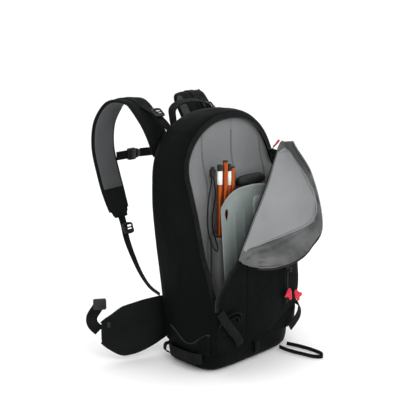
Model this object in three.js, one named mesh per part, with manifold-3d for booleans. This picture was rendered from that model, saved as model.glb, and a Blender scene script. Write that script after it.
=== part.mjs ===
// A ski-touring backpack standing on its base, with its avalanche-tool pocket open.
// Millimetres. +Z is up, -Y is the outer front, +Y is the wearer's back, -X is the wearer's left.
import * as THREE from 'three';
import { mergeVertices } from 'three/addons/utils/BufferGeometryUtils.js';
import Module from 'manifold-3d';

const wasm = await Module();
wasm.setup();

// ---- Driving dimensions -------------------------------------------------------------------------
const BOOT_TOP = 50;                    // top edge of the reinforced base
const SIDE_BOTTOM = BOOT_TOP + 0.6;     // where the side panels start
const SHOULDER_Z = 400;                 // where the straight sides turn into the arched top
const ARCH_RISE = 152;                  // height of the arch above the shoulder
const SHOULDER_HALF = 150;              // half width at the shoulder
const ARCH_POWER = 2.2;                 // squareness of the arch
const SKIN = 3;                         // thickness of a fabric panel with its foam
const BACK_ROUND = 36;                  // rounding between the sides and the back

// Each row: height, half width, y of the zip rim, y of the back.
const BODY_PROFILE = [
  [0, 132, -98, 50],
  [50, 138, -102, 56],
  [120, 142, -107, 60],
  [157, 145, -108, 62],
  [212, 149, -98, 66],
  [262, 152, -82, 71],
  [343, 153, -62, 80],
  [389, 151, -46, 83],
  [434, 148, -29, 84],
  [470, 140, -22, 84],
  [560, 120, -20, 80],
];
const LINING_Y = -34;                   // centre of the wall behind the tools
const FLAP_HINGE_TOP = new THREE.Vector3(96, -74, 462);
const FLAP_HINGE_LOW = new THREE.Vector3(-75, -124, 255);
const FLAP_OUT = new THREE.Vector3(0.724, -0.24, -0.646);   // way the open flap hangs from its hinge
const FLAP_REACH = 144;
const FLAP_MARGIN = 36;
const FLAP_THICK = 5;
const PAD_WIDTH = 66;                   // shoulder pad
const PAD_THICK = 11;
const WEB_20 = 20;                      // webbing widths
const WEB_25 = 25;
const WEB_THICK = 1.8;
const CORD_R = 1.4;                     // elastic cord
const PULL_R = 1.3;                     // zip-pull cord
const PROBE_R = 5.6;

// ---- Colours ------------------------------------------------------------------------------------
const finish = (color, roughness, metalness = 0) => ({ color, roughness, metalness });
const FABRIC = finish(0x1c1f20, 0.9);
const LINING = finish(0x8d8f91, 0.85);
const WEBBING = finish(0x141516, 0.85);
const PLASTIC = finish(0x101112, 0.5);
const RED = finish(0xc01735, 0.6);
const ORANGE = finish(0xe07228, 0.4);
const METAL = finish(0x6c7a78, 0.35, 0.8);
const SHEET = finish(0x26282a, 0.6);

const pack = new THREE.Group();

function add(name, geometry, look, place = [0, 0, 0]) {
  const mesh = new THREE.Mesh(geometry, new THREE.MeshStandardMaterial(look));
  mesh.name = name;
  mesh.position.set(...place);
  pack.add(mesh);
  return mesh;
}

// ---- Shape helpers ------------------------------------------------------------------------------
const vec = (x, y, z) => new THREE.Vector3(x, y, z);
const mirrored = (points) => points.map(([x, ...rest]) => [-x, ...rest]);
const clamp01 = (t) => Math.min(1, Math.max(0, t));
const smooth = (t) => clamp01(t) ** 2 * (3 - 2 * clamp01(t));

// Smooth reading of one column of a table whose first column is the height.
function profile(table, column, z) {
  let i = 0;
  while (i < table.length - 2 && z > table[i + 1][0]) {
    i += 1;
  }
  const at = (k) => table[Math.min(table.length - 1, Math.max(0, k))];
  const [low, high] = [at(i), at(i + 1)];
  const span = high[0] - low[0];
  const slope = (a, b) => (b[0] === a[0] ? 0 : (b[column] - a[column]) / (b[0] - a[0]));
  const t = clamp01((z - low[0]) / span);
  const m0 = slope(at(i - 1), high) * span;
  const m1 = slope(low, at(i + 2)) * span;
  const t2 = t * t;
  const t3 = t2 * t;
  return (2 * t3 - 3 * t2 + 1) * low[column] + (t3 - 2 * t2 + t) * m0
    + (3 * t2 - 2 * t3) * high[column] + (t3 - t2) * m1;
}

const rimY = (z) => profile(BODY_PROFILE, 2, z);
const backY = (z) => profile(BODY_PROFILE, 3, z);

function halfWidth(z) {
  if (z <= SHOULDER_Z) {
    return profile(BODY_PROFILE, 1, z);
  }
  const rise = clamp01((z - SHOULDER_Z) / ARCH_RISE);
  return SHOULDER_HALF * (1 - rise ** ARCH_POWER) ** (1 / ARCH_POWER);
}

// A closed geometry from points and triangles, turned so that its faces point out.
function closed(points, triangles) {
  let volume = 0;
  for (const [a, b, c] of triangles) {
    volume += points[a].dot(vec(0, 0, 0).crossVectors(points[b], points[c]));
  }
  const turned = volume < 0 ? triangles.map(([a, b, c]) => [a, c, b]) : triangles;
  const geometry = new THREE.BufferGeometry();
  geometry.setAttribute('position', new THREE.Float32BufferAttribute(points.flatMap((p) => p.toArray()), 3));
  geometry.setIndex(turned.flat());
  geometry.computeVertexNormals();
  return geometry;
}

// A sheet of even thickness: rows of outer points, thickened against their normals.
function sheet(rows, thickness) {
  const rowCount = rows.length;
  const columnCount = rows[0].length;
  const outer = rows.flat();
  const inner = [];
  for (let r = 0; r < rowCount; r += 1) {
    for (let c = 0; c < columnCount; c += 1) {
      const alongRow = rows[r][Math.min(c + 1, columnCount - 1)].clone().sub(rows[r][Math.max(c - 1, 0)]);
      const acrossRows = rows[Math.min(r + 1, rowCount - 1)][c].clone().sub(rows[Math.max(r - 1, 0)][c]);
      const normal = alongRow.cross(acrossRows).normalize();
      inner.push(rows[r][c].clone().addScaledVector(normal, thickness));
    }
  }
  const innerStart = outer.length;
  const triangles = [];
  const quad = (a, b, c, d) => triangles.push([a, b, c], [a, c, d]);
  const at = (r, c) => r * columnCount + c;
  for (let r = 0; r < rowCount - 1; r += 1) {
    for (let c = 0; c < columnCount - 1; c += 1) {
      quad(at(r, c), at(r, c + 1), at(r + 1, c + 1), at(r + 1, c));
      quad(innerStart + at(r, c), innerStart + at(r + 1, c), innerStart + at(r + 1, c + 1), innerStart + at(r, c + 1));
    }
  }
  const rim = [];
  for (let c = 0; c < columnCount - 1; c += 1) rim.push(at(0, c));
  for (let r = 0; r < rowCount - 1; r += 1) rim.push(at(r, columnCount - 1));
  for (let c = columnCount - 1; c > 0; c -= 1) rim.push(at(rowCount - 1, c));
  for (let r = rowCount - 1; r > 0; r -= 1) rim.push(at(r, 0));
  rim.forEach((a, i) => {
    const b = rim[(i + 1) % rim.length];
    quad(a, a + innerStart, b + innerStart, b);
  });
  return closed([...outer, ...inner], triangles);
}

// A stack of rings with the same point count, closed by a fan at each end.
function stack(rings) {
  const size = rings[0].length;
  const points = rings.flat();
  const triangles = [];
  for (let k = 0; k < rings.length - 1; k += 1) {
    for (let i = 0; i < size; i += 1) {
      const j = (i + 1) % size;
      triangles.push([k * size + i, k * size + j, (k + 1) * size + j]);
      triangles.push([k * size + i, (k + 1) * size + j, (k + 1) * size + i]);
    }
  }
  const capEnd = (ring, start, flip) => {
    const centre = points.length;
    points.push(ring.reduce((sum, p) => sum.add(p), vec(0, 0, 0)).multiplyScalar(1 / size));
    for (let i = 0; i < size; i += 1) {
      const j = (i + 1) % size;
      triangles.push(flip ? [centre, start + j, start + i] : [centre, start + i, start + j]);
    }
  };
  capEnd(rings[0], 0, true);
  capEnd(rings[rings.length - 1], (rings.length - 1) * size, false);
  return closed(points, triangles);
}

// A smooth curve through hand-chosen points.
const route = (points) => new THREE.CatmullRomCurve3(points.map((p) => vec(...p)), false, 'centripetal');

// Flat webbing along a route. `across` lists the width direction at the start and at the end.
function webbing(points, width, thickness, across, steps) {
  const curve = route(points);
  const first = vec(...across[0]).normalize();
  const last = vec(...across[across.length - 1]).normalize();
  const rows = [];
  for (let i = 0; i <= steps; i += 1) {
    const t = i / steps;
    const centre = curve.getPointAt(t);
    const tangent = curve.getTangentAt(t);
    const side = first.clone().lerp(last, t);
    side.addScaledVector(tangent, -side.dot(tangent)).normalize();
    const normal = side.clone().cross(tangent).normalize();
    const face = centre.clone().addScaledVector(normal, -thickness / 2);
    rows.push([-0.5, 0.5].map((share) => face.clone().addScaledVector(side, share * width)));
  }
  return sheet(rows, thickness);
}

// A round cord along a route.
function cord(points, radius, steps, sides = 8) {
  const section = new THREE.Shape();
  for (let i = 0; i < sides; i += 1) {
    const angle = (i / sides) * 2 * Math.PI;
    const corner = [radius * Math.cos(angle), radius * Math.sin(angle)];
    section[i === 0 ? 'moveTo' : 'lineTo'](...corner);
  }
  section.closePath();
  return new THREE.ExtrudeGeometry(section, { steps, extrudePath: route(points), bevelEnabled: false });
}

// A closed rounded outline in the X-Y plane of a shape, as a list of ring points.
function superEllipse(halfX, halfY, centreX, centreY, z, power, count) {
  const ring = [];
  for (let i = 0; i < count; i += 1) {
    const angle = (i / count) * 2 * Math.PI;
    const [c, s] = [Math.cos(angle), Math.sin(angle)];
    ring.push(vec(
      centreX + halfX * Math.sign(c) * Math.abs(c) ** (2 / power),
      centreY + halfY * Math.sign(s) * Math.abs(s) ** (2 / power),
      z,
    ));
  }
  return ring;
}

// A bag-like sleeve or tub with its mouth up: outer rings going up, inner rings going down.
function tub(centreX, centreY, halfX, halfY, low, high, wall, power = 3, count = 16) {
  const ring = (inset, z) => superEllipse(halfX - inset, halfY - inset, centreX, centreY, z, power, count);
  return stack([ring(0, low), ring(0, high), ring(wall, high), ring(wall, low + wall)]);
}

// A plate of the given outline, extruded along its own Z by `depth`, with holes.
function plate(outline, depth, holes = []) {
  const shape = new THREE.Shape(outline.map(([x, y]) => new THREE.Vector2(x, y)));
  for (const hole of holes) {
    shape.holes.push(new THREE.Path(hole.map(([x, y]) => new THREE.Vector2(x, y))));
  }
  return new THREE.ExtrudeGeometry(shape, { depth, bevelEnabled: false });
}

const rectangle = (w, h, x = 0, y = 0) => [
  [x - w / 2, y - h / 2], [x + w / 2, y - h / 2], [x + w / 2, y + h / 2], [x - w / 2, y + h / 2],
];

// Rectangle with cut corners.
const chamfered = (w, h, c) => [
  [-w / 2 + c, -h / 2], [w / 2 - c, -h / 2], [w / 2, -h / 2 + c], [w / 2, h / 2 - c],
  [w / 2 - c, h / 2], [-w / 2 + c, h / 2], [-w / 2, h / 2 - c], [-w / 2, -h / 2 + c],
];

// Boolean join and cut.
function solidOf(geometry) {
  const bare = geometry.clone();
  bare.deleteAttribute('normal');
  bare.deleteAttribute('uv');
  const merged = mergeVertices(bare, 1e-4);
  return new wasm.Manifold(new wasm.Mesh({
    numProp: 3,
    vertProperties: new Float32Array(merged.attributes.position.array),
    triVerts: new Uint32Array(merged.index.array),
  }));
}

function geometryOf(solid) {
  const mesh = solid.getMesh();
  const geometry = new THREE.BufferGeometry();
  geometry.setAttribute('position', new THREE.Float32BufferAttribute(mesh.vertProperties, 3));
  geometry.setIndex([...mesh.triVerts]);
  geometry.computeVertexNormals();
  return geometry;
}

// Turns and moves a geometry so that its own X, Y, Z follow the given directions.
function oriented(geometry, xDirection, zDirection, origin) {
  const z = vec(...zDirection).normalize();
  const x = vec(...xDirection);
  x.addScaledVector(z, -x.dot(z)).normalize();
  const y = z.clone().cross(x);
  const matrix = new THREE.Matrix4().makeBasis(x, y, z).setPosition(...origin);
  return geometry.clone().applyMatrix4(matrix);
}

// ---- Bag shell ----------------------------------------------------------------------------------
// The arch of the bag seen from the front: up the left side, over the top, down the right side.
function archPoint(t) {
  const sideShare = 0.31;
  if (t <= sideShare) {
    const z = SIDE_BOTTOM + (SHOULDER_Z - SIDE_BOTTOM) * (t / sideShare);
    return [-halfWidth(z), z];
  }
  if (t >= 1 - sideShare) {
    const [x, z] = archPoint(1 - t);
    return [-x, z];
  }
  const angle = Math.PI * (1 - (t - sideShare) / (1 - 2 * sideShare));
  const c = Math.cos(angle);
  return [
    SHOULDER_HALF * Math.sign(c) * Math.abs(c) ** (2 / ARCH_POWER),
    SHOULDER_Z + ARCH_RISE * Math.sin(angle) ** (2 / ARCH_POWER),
  ];
}

// A point of the arch moved inwards by `inset`, at depth `y`.
function archInset(t, inset, y) {
  const step = 0.004;
  const [x, z] = archPoint(t);
  const [x0, z0] = archPoint(Math.max(0, t - step));
  const [x1, z1] = archPoint(Math.min(1, t + step));
  const length = Math.hypot(x1 - x0, z1 - z0);
  return vec(x + inset * (z1 - z0) / length, y, z - inset * (x1 - x0) / length);
}

// One panel of the shell between two places on the arch: rim, side, rounded back edge.
function shellPanel(from, to, steps) {
  const rows = [];
  const diagonal = Math.SQRT1_2;
  for (let i = 0; i <= steps; i += 1) {
    const t = from + (to - from) * (i / steps);
    const z = archPoint(t)[1];
    const [front, back] = [rimY(z), backY(z)];
    const depth = back - BACK_ROUND - front;
    rows.push([
      archInset(t, 4, front),
      archInset(t, 0, front + 8),
      archInset(t, -3, front + 0.45 * depth),
      archInset(t, 0, front + depth),
      archInset(t, BACK_ROUND * (1 - diagonal), back - BACK_ROUND * (1 - diagonal)),
      archInset(t, BACK_ROUND, back),
    ]);
  }
  return sheet(rows, -SKIN);
}

const PANEL_SPLIT = 0.4;                // place on the arch where side and top panels meet
const SPLIT_GAP = 0.0006;
add('side_panel_left', shellPanel(0, PANEL_SPLIT, 12), FABRIC);
add('top_panel', shellPanel(PANEL_SPLIT + SPLIT_GAP, 1 - PANEL_SPLIT - SPLIT_GAP, 8), FABRIC);
add('side_panel_right', shellPanel(1 - PANEL_SPLIT, 1, 12), FABRIC);

function boot() {
  const ring = (inset, z) => {
    const [front, back] = [rimY(BOOT_TOP) - 4, backY(BOOT_TOP)];
    const half = profile(BODY_PROFILE, 1, BOOT_TOP) + 1;
    return superEllipse(half - inset, (back - front) / 2 - inset, 0, (front + back) / 2, z, 5, 28);
  };
  const wall = 4;
  return stack([ring(16, 0), ring(5, 5), ring(1, 16), ring(0, BOOT_TOP), ring(wall, BOOT_TOP), ring(wall + 2, 10)]);
}
add('base_boot', boot(), SHEET);

// The wall behind the tools: hollowed towards the back in its middle, flush with the rim at its edge.
function liningWall() {
  const rows = [];
  const topZ = SHOULDER_Z + ARCH_RISE - 8;
  const rowCount = 14;
  for (let r = 0; r <= rowCount; r += 1) {
    const z = BOOT_TOP + 6 + (topZ - BOOT_TOP - 6) * (r / rowCount) ** 0.9;
    const half = halfWidth(z + 5) - 9;
    const edge = rimY(z) + 5;
    const middle = Math.max(edge, LINING_Y + 14 * smooth((z - 370) / 120));
    const row = [];
    for (let c = 0; c <= 10; c += 1) {
      const share = c / 5 - 1;
      row.push(vec(half * share, edge + (middle - edge) * (1 - Math.abs(share) ** 5), z));
    }
    rows.push(row);
  }
  return sheet(rows, -2);
}
add('tool_pocket_lining', liningWall(), LINING);

// Zip tape on the bag's side of the opening, standing just in front of the rim.
const RIM_START = 0.085;
const RIM_END = 0.672;
const RIM_LIFT = 2.6;                   // the tape stands this far in front of the panels
function rimTape() {
  const rows = [];
  const steps = 30;
  for (let i = 0; i <= steps; i += 1) {
    const t = RIM_START + (RIM_END - RIM_START) * (i / steps);
    const y = rimY(archPoint(t)[1]) - RIM_LIFT;
    rows.push([archInset(t, 3, y), archInset(t, 12, y - 1)]);
  }
  return sheet(rows, 1.5);
}
add('tool_pocket_zip_tape', rimTape(), WEBBING);

// ---- Front pocket panel: the lower front that stays up below the open flap ------------------------
function hingeZ(x) {
  const [a, b] = [FLAP_HINGE_LOW, FLAP_HINGE_TOP];
  return b.z + (a.z - b.z) * ((x - b.x) / (a.x - b.x));
}

const PANEL_X = [-118, -96, -72, -40, 0, 40, 80, 112, 134, 146, 149];
const PANEL_FRONT_Y = -113;
function frontPanelPoint(column, z) {
  const rim = rimY(z) - 3;
  const lean = 34 * smooth((z - 240) / 220);
  const front = Math.min(PANEL_FRONT_Y + lean, rim);
  const wrap = [0, 0, 0, 0, 0, 0, 0, 0.04, 0.25, 0.7, 1][column];
  const narrow = profile(BODY_PROFILE, 1, z) / 152;
  const crown = 5 * (1 - (PANEL_X[column] / 150) ** 2);
  const closeLeft = column === 0 ? 1 - smooth((z - 128) / 30) : 0;
  const x = PANEL_X[column] * narrow;
  return vec(x + closeLeft * (4 - halfWidth(z) - x), front + (rim - front) * wrap - crown, z);
}

function frontPanel() {
  const bottom = BOOT_TOP + 3;
  const rightTop = 408;
  const rows = [];
  const rowCount = 9;
  for (let r = 0; r <= rowCount; r += 1) {
    rows.push(PANEL_X.map((x, column) => {
      const top = column === 0 ? 157 : Math.min(rightTop, hingeZ(Math.max(x, FLAP_HINGE_LOW.x)) - 8);
      const reach = column === 1 ? 208 : top;
      return frontPanelPoint(column, bottom + (reach - bottom) * (r / rowCount));
    }));
  }
  return sheet(rows, 2);
}
add('front_pocket_panel', frontPanel(), FABRIC);

// ---- Tool-pocket flap, folded open: lining side out, its edge curling forward ---------------------
function flap() {
  const along = FLAP_HINGE_LOW.clone().sub(FLAP_HINGE_TOP);
  const out = FLAP_OUT.clone().normalize();
  const lift = along.clone().normalize().cross(out).normalize();
  const rows = [];
  const rowCount = 14;
  for (let r = 0; r <= rowCount; r += 1) {
    const s = r / rowCount;
    const reach = FLAP_MARGIN + FLAP_REACH * Math.sin(Math.PI * s ** 0.9) ** 0.8;
    const row = [];
    for (let c = 0; c <= 7; c += 1) {
      const t = c / 7;
      const curl = 20 * smooth((t - 0.72) / 0.28) - 7 * Math.sin(Math.PI * t);
      const topBow = 0.11 * (1 - s) ** 3 * Math.min(1, 2.2 * t);
      row.push(FLAP_HINGE_TOP.clone().addScaledVector(along, s - topBow)
        .addScaledVector(out, reach * t + 1)
        .addScaledVector(lift, 12 + curl));
    }
    rows.push(row);
  }
  return sheet(rows, FLAP_THICK);
}
add('tool_pocket_flap', flap(), LINING);

// ---- Sleeves and the tools in them --------------------------------------------------------------
const TOOL_Y = -54;                     // depth of the sleeve, the handle and the probe
const SHAFT_CENTRE = [34, TOOL_Y];
add('tool_sleeve', tub(-7, TOOL_Y, 71, 17, 96, 290, 2, 5, 24), SHEET);

const PROBE_PLACES = [
  [-64, TOOL_Y - 2, 448], [-50, TOOL_Y - 5, 456], [-36, TOOL_Y - 2, 446], [-22, TOOL_Y, 438],
];
PROBE_PLACES.forEach(([x, y, top], i) => {
  const low = 100;
  const profilePoints = [[0, 0], [PROBE_R, 0], [PROBE_R, top - low - 1.5], [PROBE_R - 1.5, top - low], [0, top - low]];
  const tube = new THREE.LatheGeometry(profilePoints.map(([r, h]) => new THREE.Vector2(r, h)), 10);
  add(`probe_segment_${i + 1}`, tube.rotateX(Math.PI / 2), ORANGE, [x, y, low]);
});

// Shovel blade: a dished plate with a curved top edge and a teardrop hole in each top corner.
const BLADE_HALF = 98;
const BLADE_X = 6;
function shovelBlade() {
  const rows = [];
  const rowCount = 8;
  for (let r = 0; r <= rowCount; r += 1) {
    const v = r / rowCount;
    const row = [];
    for (let c = 0; c <= 12; c += 1) {
      const u = c / 6 - 1;
      const top = 396 - 34 * Math.abs(u) ** 3;
      const low = 112 + 12 * Math.abs(u) ** 4;
      const narrow = 1 - 0.1 * (1 - v);
      const z = low + (top - low) * v;
      const dish = 13 * (1 - u * u) * (0.35 + 0.65 * v);
      row.push(vec(BLADE_X + BLADE_HALF * u * narrow, -95 + 11 * v + dish * 0.7, z));
    }
    rows.push(row);
  }
  const plateSolid = solidOf(sheet(rows, 2));
  const teardrop = [[0, -16], [5, -6], [6, 2], [3, 8], [0, 10], [-3, 8], [-6, 2], [-5, -6]];
  let cut = plateSolid;
  for (const side of [-1, 1]) {
    const punch = plate(teardrop, 60).rotateX(Math.PI / 2);
    punch.translate(BLADE_X + side * 78, -50, 346);
    cut = cut.subtract(solidOf(punch));
  }
  return geometryOf(cut);
}
add('shovel_blade', shovelBlade(), METAL);

const SHAFT_TOP = 382;
add('shovel_shaft', tub(SHAFT_CENTRE[0], SHAFT_CENTRE[1], 15, 11, 100, SHAFT_TOP, 2, 2.4, 14), METAL);

function shovelGrip() {
  const rings = [];
  const half = 42;
  for (let i = 0; i <= 8; i += 1) {
    const u = i / 4 - 1;
    const swell = 1 - 0.35 * Math.abs(u) ** 5;
    rings.push(superEllipse(13 * swell, 11 * swell, 0, 0, half * u, 2.4, 12));
  }
  const bar = stack(rings).rotateY(Math.PI / 2).translate(SHAFT_CENTRE[0] + 4, SHAFT_CENTRE[1], 401);
  const neck = stack([
    superEllipse(12, 8, SHAFT_CENTRE[0], SHAFT_CENTRE[1], SHAFT_TOP - 34, 2.4, 14),
    superEllipse(12, 8, SHAFT_CENTRE[0], SHAFT_CENTRE[1], SHAFT_TOP + 0.4, 2.4, 14),
    superEllipse(15, 10, SHAFT_CENTRE[0], SHAFT_CENTRE[1], SHAFT_TOP + 0.5, 2.4, 14),
    superEllipse(11, 9, SHAFT_CENTRE[0], SHAFT_CENTRE[1], 402, 2.4, 14),
  ]);
  return geometryOf(solidOf(bar).add(solidOf(neck)));
}
add('shovel_grip', shovelGrip(), PLASTIC);

// ---- Elastic retention cord with its lock -------------------------------------------------------
const LOCK = [-76, -46, 430];
const LOCK_LOW = LOCK[2] - 9;
const turned = (points, sides) => (
  new THREE.LatheGeometry(points.map(([r, h]) => new THREE.Vector2(r, h)), sides).rotateX(Math.PI / 2));
add('cord_lock_body', turned([[0, -8], [6, -8], [7, 8], [5.2, 8], [5.2, -2], [0, -2]], 12), PLASTIC, LOCK);
add('cord_lock_button', turned([[0, 2], [4.4, 2], [4.4, 13], [3.4, 14], [0, 14]], 12), PLASTIC, LOCK);
add('retention_cord', cord([
  [LOCK[0] - 3, LOCK[1], LOCK_LOW], [-81, -47, 408], [-96, -55, 384], [-111, -65, 354], [-119, -73, 324],
  [-118, -79, 298], [-110, -82, 278], [-98, -81, 268], [-89, -74, 274], [-85, -62, 292], [-84, -54, 312],
  [-83, -52, 336], [-79, -53, 360], [-74, -53, 384], [-73, -49, 406], [LOCK[0] + 3, LOCK[1], LOCK_LOW],
], CORD_R, 60), WEBBING);

// ---- Zips, sliders and pulls --------------------------------------------------------------------
// A slider is a small chamfered block; its pull is a cord loop with a moulded red tab on its end.
function slider(name, place, facing, along) {
  const block = plate(chamfered(9, 13, 2), 4);
  add(name, oriented(block, vec(...facing).cross(vec(...along)).toArray(), facing, place), PLASTIC);
}

function redTab(name, points) {
  add(name, webbing(points, 9, 4, [[1, 0, 0.2]], 4), RED);
}

// The main slider stands just outside the right end of the arch zip.
slider('flap_zip_slider', [127, -33, 452], [0, -1, 0], [-0.3, 0, 1]);
redTab('flap_zip_pull', [[130, -42, 462], [134, -48, 470], [138, -52, 478]]);

// A vertical zip on the right of the front pocket, with two sliders.
const FRONT_ZIP_X = 92;
const FRONT_ZIP_Y = PANEL_FRONT_Y - 7.5;
add('front_zip_tape', sheet([112, 137, 162, 187, 212].map((z) => (
  [-9, 9].map((dx) => vec(FRONT_ZIP_X + dx, FRONT_ZIP_Y + 0.08 * dx, z)))), -1.5), WEBBING);
[-5.5, 5.5].forEach((dx, i) => {
  const x = FRONT_ZIP_X + dx;
  const low = 194 - 9 * i;
  const y = FRONT_ZIP_Y - 3.5;
  const drift = 4 + 9 * i;
  slider(`front_zip_slider_${i + 1}`, [x, y, low + 8], [0, -1, 0], [0, 0, 1]);
  add(`front_pull_cord_${i + 1}`, cord([
    [x, y - 6, low + 4], [x + 0.2 * drift, y - 7, low - 10], [x + 0.5 * drift, y - 6, low - 26],
    [x + drift, y - 5, low - 43],
  ], PULL_R, 14), WEBBING);
  redTab(`front_pull_tab_${i + 1}`, [
    [x + drift, y - 5, low - 43.6], [x + 1.6 * drift, y - 5.5, low - 57], [x + 2.2 * drift, y - 5, low - 71],
  ]);
});

// ---- Webbing loops and lower straps -------------------------------------------------------------
function skiLoop(side) {
  const x = side * 141;
  const z = 32;
  const path = [
    [x, -78, z], [x + side * 8, -66, z], [x + side * 12, -42, z], [x + side * 12, -16, z],
    [x + side * 8, 10, z], [x, 22, z],
  ];
  return webbing(path, WEB_25, 2, [[0, 0, 1]], 12);
}
add('ski_loop_left', skiLoop(-1), WEBBING);
add('ski_loop_right', skiLoop(1), WEBBING);

add('ice_axe_loop', webbing([
  [84, -108, 6], [83, -135, 5.2], [88, -172, 5.2], [95, -203, 5.2], [107, -214, 5.2], [119, -203, 5.2],
  [123, -172, 5.2], [120, -135, 5.2], [112, -107, 6],
], 9, 2.4, [[0, 0, 1]], 24), WEBBING);

add('compression_strap_left', webbing([
  [-132, -122, 146], [-118, -127, 122], [-98, -127, 98], [-80, -127, 76], [-70, -126, 60],
], WEB_20, WEB_THICK, [[0.75, -0.2, 0.6]], 10), WEBBING);
add('compression_strap_right', webbing([
  [155, -88, 99], [149, -111, 93], [132, -125, 80], [110, -129, 66], [94, -129, 56],
], WEB_20, WEB_THICK, [[-0.5, 0, 0.85]], 10), WEBBING);

// Side-release buckle on the right lower corner: a flat socket and two prongs that squeeze together.
const BUCKLE = [148, -70, 102];
add('side_buckle_socket', oriented(plate(chamfered(26, 24, 4), 7), [0.35, 1, 0], [1, -0.35, 0],
  [BUCKLE[0] + 6, BUCKLE[1], BUCKLE[2]]), PLASTIC);

// Haul loop over the top of the back.
add('haul_loop', webbing([
  [-62, 90, 534], [-56, 97, 552], [-34, 102, 563], [0, 103, 566], [34, 102, 563], [56, 97, 552],
  [62, 90, 534],
], WEB_20, 3, [[0, 1, 0.25]], 20), WEBBING);

// ---- Back panel: opens on a hinge along its lower edge and carries the whole harness --------------
const PANEL_LOW = 62;
const PANEL_INSET = 40;
function backGrid(low, high, halfShare, lift, columns, rowsWanted, crown) {
  const rows = [];
  for (let r = 0; r <= rowsWanted; r += 1) {
    const z = low + (high - low) * (r / rowsWanted);
    const half = (halfWidth(z + PANEL_INSET * smooth((z - SHOULDER_Z) / ARCH_RISE)) - PANEL_INSET) * halfShare;
    const row = [];
    for (let c = 0; c <= columns; c += 1) {
      const share = (2 * c) / columns - 1;
      row.push(vec(half * share, backY(z) + lift + crown * (1 - share ** 4), z));
    }
    rows.push(row);
  }
  return rows;
}
add('back_panel_pad', sheet(backGrid(PANEL_LOW, 500, 1, 9, 6, 10, 3), 11), FABRIC);
add('frame_sheet', sheet(backGrid(PANEL_LOW + 8, 488, 0.9, -5, 4, 7, 0), 2), SHEET);
add('frame_stay', sheet(backGrid(PANEL_LOW + 20, 470, 0.11, -8, 1, 7, 0), 3), METAL);
add('lumbar_pad', sheet([60, 90, 125, 160].map((z) => [-1, -0.5, 0, 0.5, 1].map((share) => (
  vec(96 * share, backY(z) + 30 - 3 * share * share, z)))), 12), FABRIC);

// ---- Shoulder straps ----------------------------------------------------------------------------
const PAD_PATH = [
  [-74, 110, 440], [-78, 119, 480], [-88, 142, 530], [-102, 172, 566], [-122, 206, 564],
  [-142, 226, 526], [-152, 226, 470], [-154, 206, 405], [-152, 184, 345], [-148, 168, 304],
];
const PAD_ACROSS = [[1, 0.12, 0], [1, 0.02, 0]];
const WEB_PATH = [
  [-147, 165, 292], [-146, 158, 262], [-140, 142, 218], [-132, 124, 178], [-121, 108, 150],
];
const LIFTER_PATH = [[-92, 142, 554], [-85, 124, 544], [-76, 102, 524], [-72, 91, 512]];

// The right strap has flopped inwards where it arches over.
const RIGHT_FLOP = [0, 0, -5, -18, -24, -12, 0, 0, 0, 0];
const RIGHT_PAD_PATH = mirrored(PAD_PATH).map(([x, y, z], i) => [x + RIGHT_FLOP[i], y, z]);

function strap(side, points, width, thickness, across, steps) {
  const path = side < 0 ? points : mirrored(points);
  const directions = side < 0 ? across : mirrored(across);
  return webbing(path, width, thickness, directions, steps);
}

function ladderLock(width) {
  const outer = rectangle(width + 8, 24);
  const slots = [rectangle(width, 4, 0, 6), rectangle(width, 4, 0, -5)];
  return plate(outer, 3.5, slots);
}

for (const [word, side] of [['left', -1], ['right', 1]]) {
  const padPath = side < 0 ? PAD_PATH : mirrored(RIGHT_PAD_PATH);
  add(`shoulder_pad_${word}`, strap(side, padPath, PAD_WIDTH, PAD_THICK, PAD_ACROSS, 24), FABRIC);
  add(`shoulder_webbing_${word}`, strap(side, WEB_PATH, WEB_20, WEB_THICK, [[1, 0, 0], [0.7, 0.7, 0]], 12), WEBBING);
  add(`load_lifter_${word}`, strap(side, LIFTER_PATH, WEB_20, WEB_THICK, [[1, 0, 0]], 8), WEBBING);
  add(`lifter_lock_${word}`, oriented(ladderLock(WEB_20), [1, 0, 0], [0, -0.62, 0.78],
    [side * 82, 118, 544.5]), PLASTIC);
  add(`lower_lock_${word}`, oriented(ladderLock(WEB_20), [1, 0, 0], [0, -0.93, 0.36],
    [side * 147, 152, 286]), PLASTIC);
}

// Sternum strap: fastened, carried by the left shoulder strap, its clip just short of the right one.
const STERNUM_Z = 440;
const STERNUM_Y = 214;
const STERNUM_BUCKLE_X = -70;           // the strap is drawn in on its left half
add('sternum_webbing_left', webbing([
  [-112, STERNUM_Y, STERNUM_Z], [-101, STERNUM_Y, STERNUM_Z], [STERNUM_BUCKLE_X - 19, STERNUM_Y, STERNUM_Z],
], WEB_20, WEB_THICK, [[0, 0, 1]], 8), WEBBING);
add('sternum_webbing_right', webbing([
  [STERNUM_BUCKLE_X + 19, STERNUM_Y, STERNUM_Z], [28, STERNUM_Y, STERNUM_Z - 3], [97, STERNUM_Y, STERNUM_Z],
], WEB_20, WEB_THICK, [[0, 0, 1]], 8), WEBBING);
add('sternum_buckle', oriented(plate(chamfered(37, 28, 5), 8), [1, 0, 0], [0, 1, 0],
  [STERNUM_BUCKLE_X, STERNUM_Y - 4, STERNUM_Z]), PLASTIC);
add('sternum_clip', oriented(plate(chamfered(11, 30, 2), 7), [1, 0, 0], [0, 1, 0],
  [103.5, STERNUM_Y - 3, STERNUM_Z]), PLASTIC);

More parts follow.
